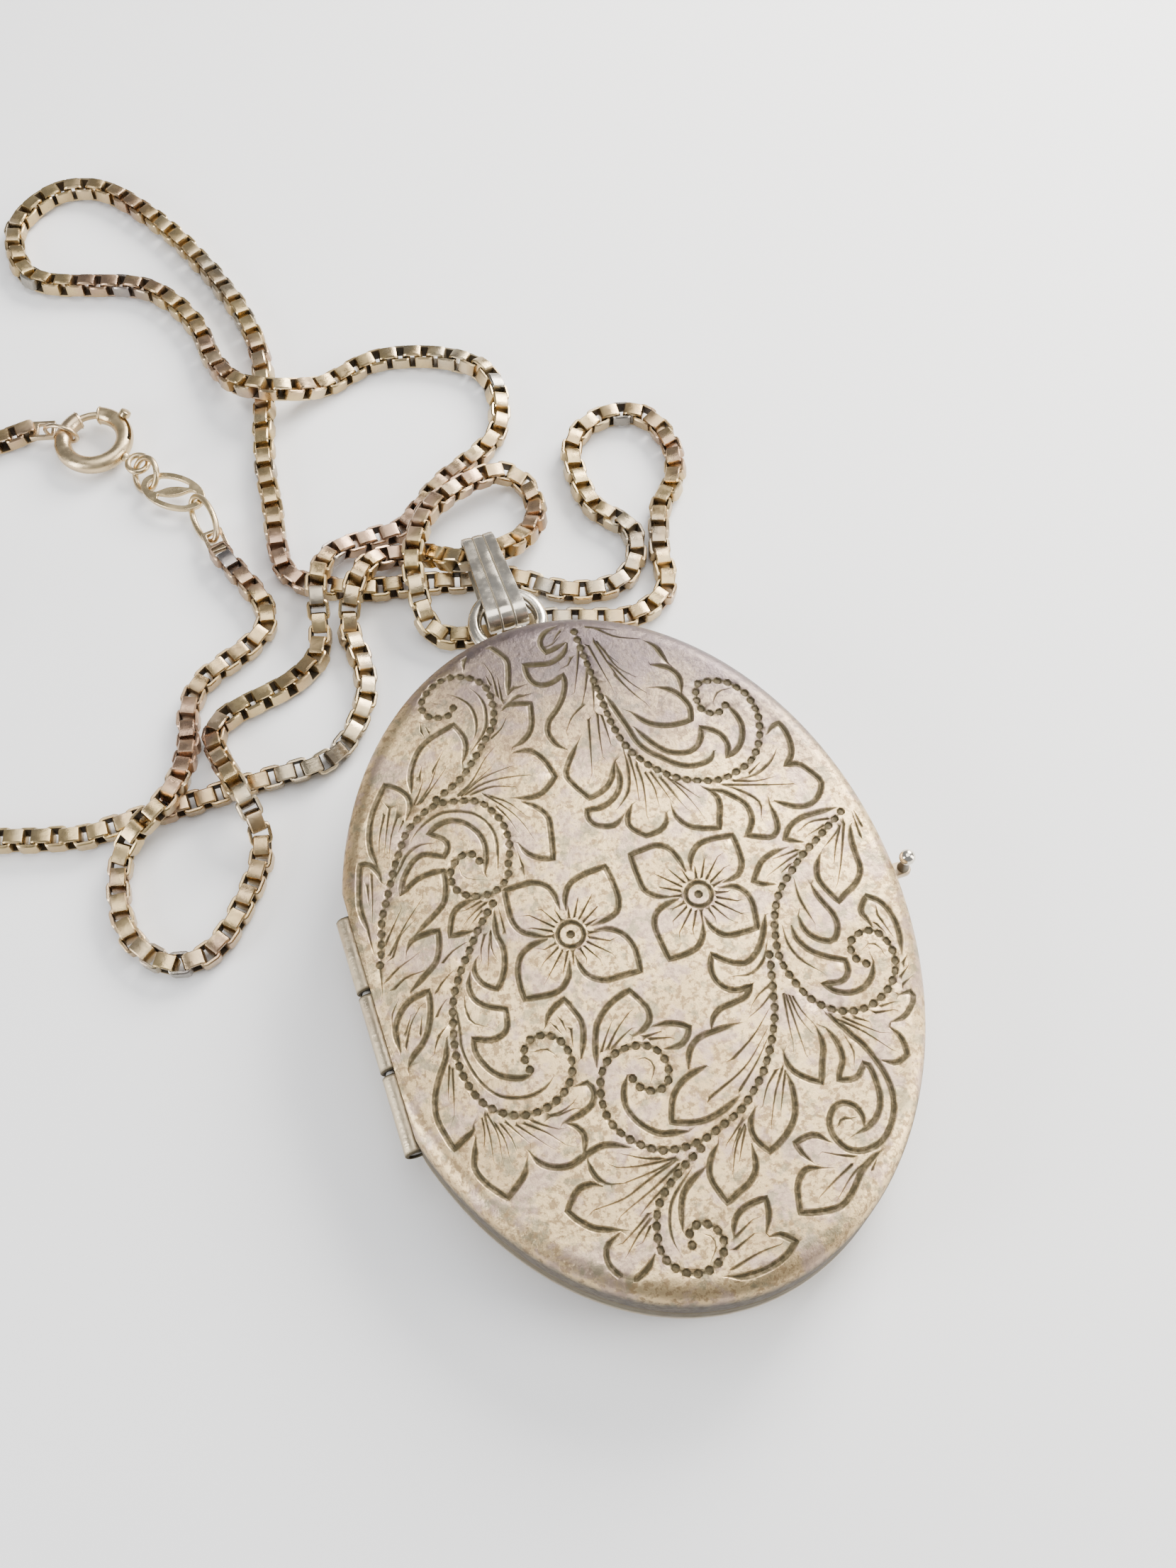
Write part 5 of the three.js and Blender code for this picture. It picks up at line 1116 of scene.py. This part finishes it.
def folded_bail():
    """A strip with two lengthwise grooves between three ridges, folded into a long tapering loop."""
    outer, inner = bail_side(0), bail_side(BAIL_STRIP)
    across = [-1, -0.97, -0.8, -0.62, -0.4, -0.34, -0.28, -0.16, 0, 0.16, 0.28, 0.34, 0.4, 0.62, 0.8, 0.97, 1]
    dip = [0.08, 0.02, 0, 0.01, 0.03, 0.11, 0.03, 0.01, 0, 0.01, 0.03, 0.11, 0.03, 0.01, 0, 0.02, 0.08]
    share = np.clip((outer[:, 0] - BAIL_FOOT_AT) / (BAIL_TIP_AT - BAIL_FOOT_AT), 0, 1)
    half = (BAIL_FOOT_WIDTH + (BAIL_TIP_WIDTH - BAIL_FOOT_WIDTH) * share) / 2
    inward = unit(inner - outer)
    columns = []
    for place_across, depth in zip(across, dip):
        at = outer + inward * depth
        columns.append(np.column_stack([place_across * half, at]))
    for place_across in (1, -1):
        columns.append(np.column_stack([place_across * half, inner]))
    points = np.stack(columns, 1)
    rows, count = points.shape[:2]
    points = points.reshape(-1, 3)
    faces = grid_faces(rows, count, wrap_rows=True, wrap_columns=True)
    # The grooves carry tarnish; the inside of the fold is painted dark as painted shade.
    groove = [min(1, 10 * max(0, depth - 0.03)) if -0.9 < s < 0.9 else 0 for s, depth in zip(across, dip)]
    shade_and_tarnish = np.tile(groove + [0.8, 0.8], rows)
    x, y, z = points.T
    turn = -BAIL_DROOP
    turned = np.stack([
        x,
        y * math.cos(turn) - z * math.sin(turn) + BAIL_PIVOT_Y,
        y * math.sin(turn) + z * math.cos(turn) + SEAM,
    ], 1)
    build("bail_strip", turned, [face[::-1] for face in faces], BRIGHT, "bail", ["bail"],
          sharp=32, attributes={"shade_and_tarnish": shade_and_tarnish})


thumb_piece()
top_loop()
folded_bail()

# ---- The clasp and the chain's fittings --------------------------------------------------


def on_clasp(degrees, distance):
    turn = math.radians(degrees)
    return CLASP + distance * np.array([math.cos(turn), math.sin(turn), 0])


def clasp_tube():
    """A bored tube bent into most of a ring, its ends turned over and its top slotted for the nub."""
    start, end = CLASP_GAP[1], CLASP_GAP[0] + 360
    line = arc(CLASP, CLASP_RADIUS, start, end, CLASP_STEPS + 1)
    sides = 28
    # The section starts in the middle of the slot, which leans out at 45 degrees.
    turn = math.radians(45) + np.arange(sides) * 2 * math.pi / sides
    ring = np.stack([np.cos(turn), np.sin(turn)], 1)
    degrees = np.linspace(start, end, CLASP_STEPS + 1)
    slot = (degrees > 335) & (degrees < 389)
    points, faces = [], []
    along = directions(line)
    out = unit(line - CLASP)
    for k in range(CLASP_STEPS + 1):
        for radius in (CLASP_TUBE, CLASP_BORE):
            end_shrink = 0.92 if k in (0, CLASP_STEPS) and radius == CLASP_TUBE else 1
            points.append(line[k] + radius * end_shrink * (ring[:, :1] * out[k] + ring[:, 1:] * (0, 0, 1)))
    points = np.concatenate(points)

    def at(k, layer, j):
        return (k * 2 + layer) * sides + j % sides

    def cut(k, j):
        return slot[k] and slot[k + 1] and j % sides in (sides - 1, 0)

    for k in range(CLASP_STEPS):
        for j in range(sides):
            if cut(k, j):
                continue
            faces.append([at(k, 0, j), at(k, 0, j + 1), at(k + 1, 0, j + 1), at(k + 1, 0, j)])
            faces.append([at(k, 1, j), at(k + 1, 1, j), at(k + 1, 1, j + 1), at(k, 1, j + 1)])
            for neighbour, edge in ((j - 1, j), (j + 1, j + 1)):
                if cut(k, neighbour):
                    faces.append([at(k, 0, edge), at(k + 1, 0, edge), at(k + 1, 1, edge), at(k, 1, edge)])
        for j in (sides - 1, 0):
            if cut(k, j) and (k == 0 or not cut(k - 1, j)):
                faces.append([at(k, 0, j), at(k, 0, j + 1), at(k, 1, j + 1), at(k, 1, j)])
            if cut(k, j) and (k == CLASP_STEPS - 1 or not cut(k + 1, j)):
                faces.append([at(k + 1, 0, j), at(k + 1, 1, j), at(k + 1, 1, j + 1), at(k + 1, 0, j + 1)])
    for k in (0, CLASP_STEPS):
        for j in range(sides):
            faces.append([at(k, 0, j), at(k, 1, j), at(k, 1, j + 1), at(k, 0, j + 1)])
    build("clasp_ring", points, faces, LINKS, "case_back", ["clasp_tube"], sharp=50)
    collars = []
    for k, direction in ((0, 1), (CLASP_STEPS, -1)):
        turns = np.arange(24)[:, None] * math.pi / 12
        rim = line[k] + CLASP_TUBE * (np.cos(turns) * out[k] + np.sin(turns) * np.array([0, 0, 1]))
        rim = rim + along[k] * direction * 0.12
        collars.append(sweep(rim, round_section(0.05, 8), closed=True, up=along[k]))
    points, faces = joined(collars)
    build("clasp_collars", points, faces, LINKS, "case_back")


def clasp_trigger():
    """The sprung tongue that closes the ring, with the nub that slides it."""
    tongue = arc(CLASP, CLASP_RADIUS, 14, 112, 40)
    parts = [sweep(tongue, round_section(0.24, 16))]
    turn = math.radians(22)
    lean = math.radians(45)
    out = np.array([math.cos(turn), math.sin(turn), 0])
    axis = out * math.cos(lean) + np.array([0, 0, math.sin(lean)])
    seat = CLASP + CLASP_RADIUS * out
    stem = np.array([seat + axis * reach for reach in (0.05, 0.3, 0.66)])
    parts.append(sweep(stem, round_section(0.12, 12), up=(0.1, 0.2, 1)))
    nub = [(0.64, 0.3), (0.67, 0.36), (0.77, 0.37), (0.96, 0.36), (1.02, 0.33), (1.05, 0.24), (1.06, 0.1)]
    line = np.array([seat + axis * reach for reach, _ in nub])
    parts.append(sweep(line, round_section(1.0, 20), up=(0.1, 0.2, 1), scale=[radius for _, radius in nub]))
    points, faces = joined(parts)
    build("clasp_tongue", points, faces, LINKS, "clasp_trigger", ["clasp_trigger"])


def clasp_eye():
    middle = on_clasp(CLASP_EYE_AT, CLASP_EYE_DISTANCE)
    parts = [sweep(arc(middle, 0.65, 0, 352.5, 48), round_section(0.2, 14, 0.95), closed=True)]
    neck = np.array([on_clasp(CLASP_EYE_AT, reach) for reach in (2.6, 2.66, 2.78, 2.95)])
    parts.append(sweep(neck, round_section(1.0, 16), scale=[0.34, 0.28, 0.23, 0.22]))
    points, faces = joined(parts)
    build("clasp_loop", points, faces, LINKS, "case_back", ["clasp_eye"])


def wire_ring(name, node, start, end, half_width, wire, roll):
    """A closed ring of round wire that reaches from one point to another."""
    start, end = np.asarray(start, float), np.asarray(end, float)
    along = end - start
    half = np.linalg.norm(along) / 2
    along /= 2 * half
    side = np.cross((0, 0, 1), along)
    tilt = math.radians(roll)
    across = math.cos(tilt) * side + math.sin(tilt) * np.array([0, 0, 1])
    turn = np.arange(48)[:, None] * 2 * math.pi / 48
    line = (start + end) / 2 + half * np.cos(turn) * along + half_width * np.sin(turn) * across
    points, faces = sweep(line, round_section(wire, 12), closed=True, up=np.cross(along, across))
    build(name, points, faces, LINKS, "case_back", [node])


def plate(name, node, outline, holes, thickness, middle, heading):
    """A thin plate with holes and rounded edges."""
    curve = bpy.data.curves.new(name, "CURVE")
    curve.dimensions = "2D"
    curve.fill_mode = "BOTH"
    curve.extrude = thickness / 2 - 0.05
    curve.bevel_depth = 0.05
    curve.bevel_resolution = 2
    curve.offset = -0.05
    for line in [outline] + holes:
        spline = curve.splines.new("POLY")
        spline.points.add(len(line) - 1)
        for point, (x, y) in zip(spline.points, line):
            point.co = (x, y, 0, 1)
        spline.use_cyclic_u = True
    maker = bpy.data.objects.new(name + "_curve", curve)
    bpy.context.scene.collection.objects.link(maker)
    bpy.context.view_layer.update()
    mesh = bpy.data.meshes.new_from_object(maker)
    points = np.array([vert.co[:] for vert in mesh.vertices], float)
    faces = [list(face.vertices) for face in mesh.polygons]
    bpy.data.objects.remove(maker)
    bpy.data.meshes.remove(mesh)
    c, s = math.cos(heading), math.sin(heading)
    turned = np.stack([
        points[:, 0] * c - points[:, 1] * s + middle[0],
        points[:, 0] * s + points[:, 1] * c + middle[1],
        points[:, 2] + middle[2],
    ], 1)
    build(name, turned, faces, LINKS, "case_back", [node], sharp=40)


def ellipse(centre, half_length, half_width, steps=48):
    turn = np.arange(steps) * 2 * math.pi / steps
    return [(centre[0] + half_length * math.cos(a), centre[1] + half_width * math.sin(a)) for a in turn]


def comma(hand):
    """One of the tag's two openings: round where the ring passes, with a tail along the tag's edge."""
    head = [(-1.25 + 0.5 * math.cos(t), 0.5 * math.sin(t)) for t in np.radians(np.arange(150, 331, 15))]
    inner = catmull_rom([head[-1], (-0.45, 0.12), (0.1, 0.42), (0.8, 0.6)], 5)[1:]
    outer = [(1.85 * math.cos(t), 0.95 * math.sin(t)) for t in np.radians(np.arange(68, 136, 8))]
    return [(hand * x, hand * y) for x, y in head + inner.tolist() + outer]


def end_link(name, node, middle, toward):
    heading = math.atan2(toward[1] - middle[1], toward[0] - middle[0])
    outline = [
        (-0.6, -0.67), (0.9, -0.67), (0.98, -0.58), (0.98, 0.58),
        (0.9, 0.67), (-0.6, 0.67), (-0.67, 0.58), (-0.67, -0.58),
    ]
    hole = [
        (-0.42, -0.36), (-0.36, -0.42), (0.36, -0.42), (0.42, -0.36),
        (0.42, 0.36), (0.36, 0.42), (-0.36, 0.42), (-0.42, 0.36),
    ]
    plate(name, node, outline, [hole], 0.35, middle, heading)


clasp_tube()
clasp_trigger()
clasp_eye()
tag_heading = math.atan2(TAG_AXIS[1], TAG_AXIS[0])
tag_step = unit(TAG_AXIS) * TAG_HOLE_OFFSET
clasp_eye_middle = on_clasp(CLASP_EYE_AT, CLASP_EYE_DISTANCE)
wire_ring("jump_ring_wire", "jump_ring", clasp_eye_middle, TAG - tag_step,
          np.linalg.norm(clasp_eye_middle - TAG + tag_step) / 2, RING_WIRE, 48)
wire_ring("right_ring_wire", "right_end_ring", TAG + tag_step, RIGHT_LINK, 0.9, RING_WIRE, 50)
wire_ring("left_ring_wire", "left_end_ring", on_clasp(LEFT_RING_AT, LEFT_RING_SPAN[0]),
          on_clasp(LEFT_RING_AT, LEFT_RING_SPAN[1]), 0.77, 0.14, 90)
end_link("right_link_plate", "right_end_link", RIGHT_LINK, (-15.15, 33.6))
end_link("left_link_plate", "left_end_link", on_clasp(LEFT_RING_AT, LEFT_RING_SPAN[1]), (-25, 46.95))
tag_holes = [comma(1), comma(-1)]
plate("tag_plate", "oval_tag", ellipse((0, 0), 2.2, 1.3), tag_holes, 0.3, TAG, tag_heading)

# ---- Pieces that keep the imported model's shape ---------------------------------------------

CARRIED = {
    "snap_rim": PLAIN, "hinge_pin": STEEL, "clasp_spring": STEEL,
    "back_picture_frame": PLAIN, "front_picture_frame": PLAIN,
    "back_pane": PANE, "front_pane": PANE, "back_picture": CARD, "front_picture": CARD,
}
for node, material in CARRIED.items():
    for slot_index in range(len(bpy.data.objects[node].material_slots)):
        bpy.data.objects[node].material_slots[slot_index].material = material

# ---- The chain ---------------------------------------------------------------------------


def link_mesh():
    """One box link, flat in X and Y: a square ring of broad strip, edges chamfered."""
    half = LINK_SIDE / 2
    length = LINK_LENGTH / 2
    corner = 0.3
    outline = []
    for quadrant, (cx, cy) in enumerate(((1, 1), (-1, 1), (-1, -1), (1, -1))):
        for t in (0, 45, 90):
            turn = math.radians(t + 90 * quadrant)
            outline.append((
                (length - corner) * cx + corner * math.cos(turn),
                (half - corner) * cy + corner * math.sin(turn),
                math.cos(turn), math.sin(turn),
            ))
    bevel = 0.07
    breadth = LINK_BREADTH / 2
    section = [
        (0, breadth - bevel), (-bevel, breadth),
        (-LINK_STRIP + 0.03, breadth), (-LINK_STRIP, breadth - 0.03),
        (-LINK_STRIP, 0.03 - breadth), (-LINK_STRIP + 0.03, -breadth),
        (-bevel, -breadth), (0, bevel - breadth),
    ]
    points = np.array([(x + nx * s, y + ny * s, z) for x, y, nx, ny in outline for s, z in section])
    faces = grid_faces(len(outline), len(section), wrap_rows=True, wrap_columns=True)
    return points, faces


def noise_walk(count, spread, seed, smooth=5):
    rng = np.random.default_rng(seed)
    walk = rng.normal(0, 1, count + 4 * smooth)
    kernel = np.hanning(2 * smooth + 3)
    kernel /= math.sqrt((kernel**2).sum())
    return np.convolve(walk, kernel, "same")[2 * smooth : 2 * smooth + count] * spread


def chain_of_links():
    curve = catmull_rom(CHAIN_ROUTE, 16)
    curve[:, 2] = np.maximum(curve[:, 2], CHAIN_REST)
    line, length = spaced(curve, LINK_PITCH)
    along = directions(line)
    count = len(line)
    side = unit(np.cross((0, 0, 1), along))
    up = np.cross(along, side)
    roll = noise_walk(count, 0.14, 4, 9) + noise_walk(count, 0.05, 5, 1)
    wobble = noise_walk(count, 0.025, 6, 1)
    base, base_faces = link_mesh()
    # The inner faces of each link are darkened: painted shade between the links, with some tarnish.
    inside = np.tile([0, 0, 0, 1, 1, 0, 0, 0], len(base) // 8) * 0.85
    points, faces, tints = [], [], []
    rng = np.random.default_rng(8)
    for i in range(count):
        turn = roll[i] + (math.pi / 2 if i % 2 else 0)
        across = math.cos(turn) * side[i] + math.sin(turn) * up[i]
        over = np.cross(along[i], across)
        centre = line[i] + side[i] * wobble[i]
        placed = centre + base[:, :1] * along[i] + base[:, 1:2] * across + base[:, 2:] * over
        placed[:, 2] = np.maximum(placed[:, 2], 0.01)
        faces += [[k + len(points) * len(base) for k in face] for face in base_faces]
        points.append(placed)
        tints.append(np.full(len(base), rng.random()))
    path = place(line)
    piece = build(
        "box_chain", np.concatenate(points), faces, LINKS, "case_back", ["chain"],
        sharp=40, attributes={"tint": np.concatenate(tints), "shade_and_tarnish": np.tile(inside, len(points))},
    )
    return piece, path, length * MM


chain, chain_path, chain_length = chain_of_links()

# ---- Floor, light and camera -------------------------------------------------------------


FLOOR_HALF = 9  # metres
FLOOR_HEIGHT = -0.05 * MM
CAMERA_AT = (-12.694, -30.480, 90.620)
CAMERA_TILT = math.radians(26)  # from straight down
CAMERA_TURN = math.radians(18.83072)  # clockwise from +Y, seen from above
CAMERA_LENS = 39.06
CAMERA_SENSOR = 36


def floor():
    mesh = bpy.data.meshes.new("floor")
    signs = ((-1, -1), (1, -1), (1, 1), (-1, 1))
    corners = [(x * FLOOR_HALF, y * FLOOR_HALF, FLOOR_HEIGHT) for x, y in signs]
    mesh.from_pydata(corners, [], [(0, 1, 2, 3)])
    nodes = Nodes("floor")
    nodes.set(Base_Color=(0.86, 0.86, 0.86), Roughness=0.7)
    mesh.materials.append(nodes.material)
    plane = bpy.data.objects.new("floor", mesh)
    bpy.context.scene.collection.objects.link(plane)


def lamp(name, at, aim, size, watts, colour=(1, 1, 1)):
    light = bpy.data.lights.new(name, "AREA")
    light.shape = "RECTANGLE"
    light.size, light.size_y = size[0] * MM, size[1] * MM
    light.energy = watts
    light.color = colour
    lamp_object = bpy.data.objects.new(name, light)
    lamp_object.location = Vector(place(at))
    lamp_object.rotation_mode = "QUATERNION"
    lamp_object.rotation_quaternion = (Vector(aim) - Vector(at)).to_track_quat("-Z", "Y")
    lamp_object.visible_camera = False
    bpy.context.scene.collection.objects.link(lamp_object)


def camera():
    data = bpy.data.cameras.new("camera")
    data.sensor_fit = "VERTICAL"
    data.sensor_width = data.sensor_height = CAMERA_SENSOR
    data.lens = CAMERA_LENS
    data.clip_start, data.clip_end = 0.001, 10
    view = bpy.data.objects.new("camera", data)
    turn = Matrix.Rotation(-CAMERA_TURN, 4, "Z") @ Matrix.Rotation(CAMERA_TILT, 4, "X")
    view.matrix_world = Matrix.Translation(Vector(place(CAMERA_AT))) @ turn
    bpy.context.scene.collection.objects.link(view)
    bpy.context.scene.camera = view


floor()
lamp("window light", (140, 125, 115), (-5, 20, 0), (110, 110), 1.15, (1.0, 0.97, 0.93))
lamp("soft top light", (30, 40, 200), (30, 40, 0), (170, 150), 0.36)
lamp("low side light", (-160, -10, 60), (-5, 10, 0), (60, 120), 0.3, (0.95, 0.97, 1.0))
lamp("rim light", (130, -60, 60), (10, -5, 2), (60, 140), 0.3, (1.0, 0.97, 0.92))
world = bpy.data.worlds.new("studio")
world.use_nodes = True
world.node_tree.nodes["Background"].inputs["Color"].default_value = (0.9, 0.93, 1.0, 1)
world.node_tree.nodes["Background"].inputs["Strength"].default_value = 0.4
bpy.context.scene.world = world
camera()
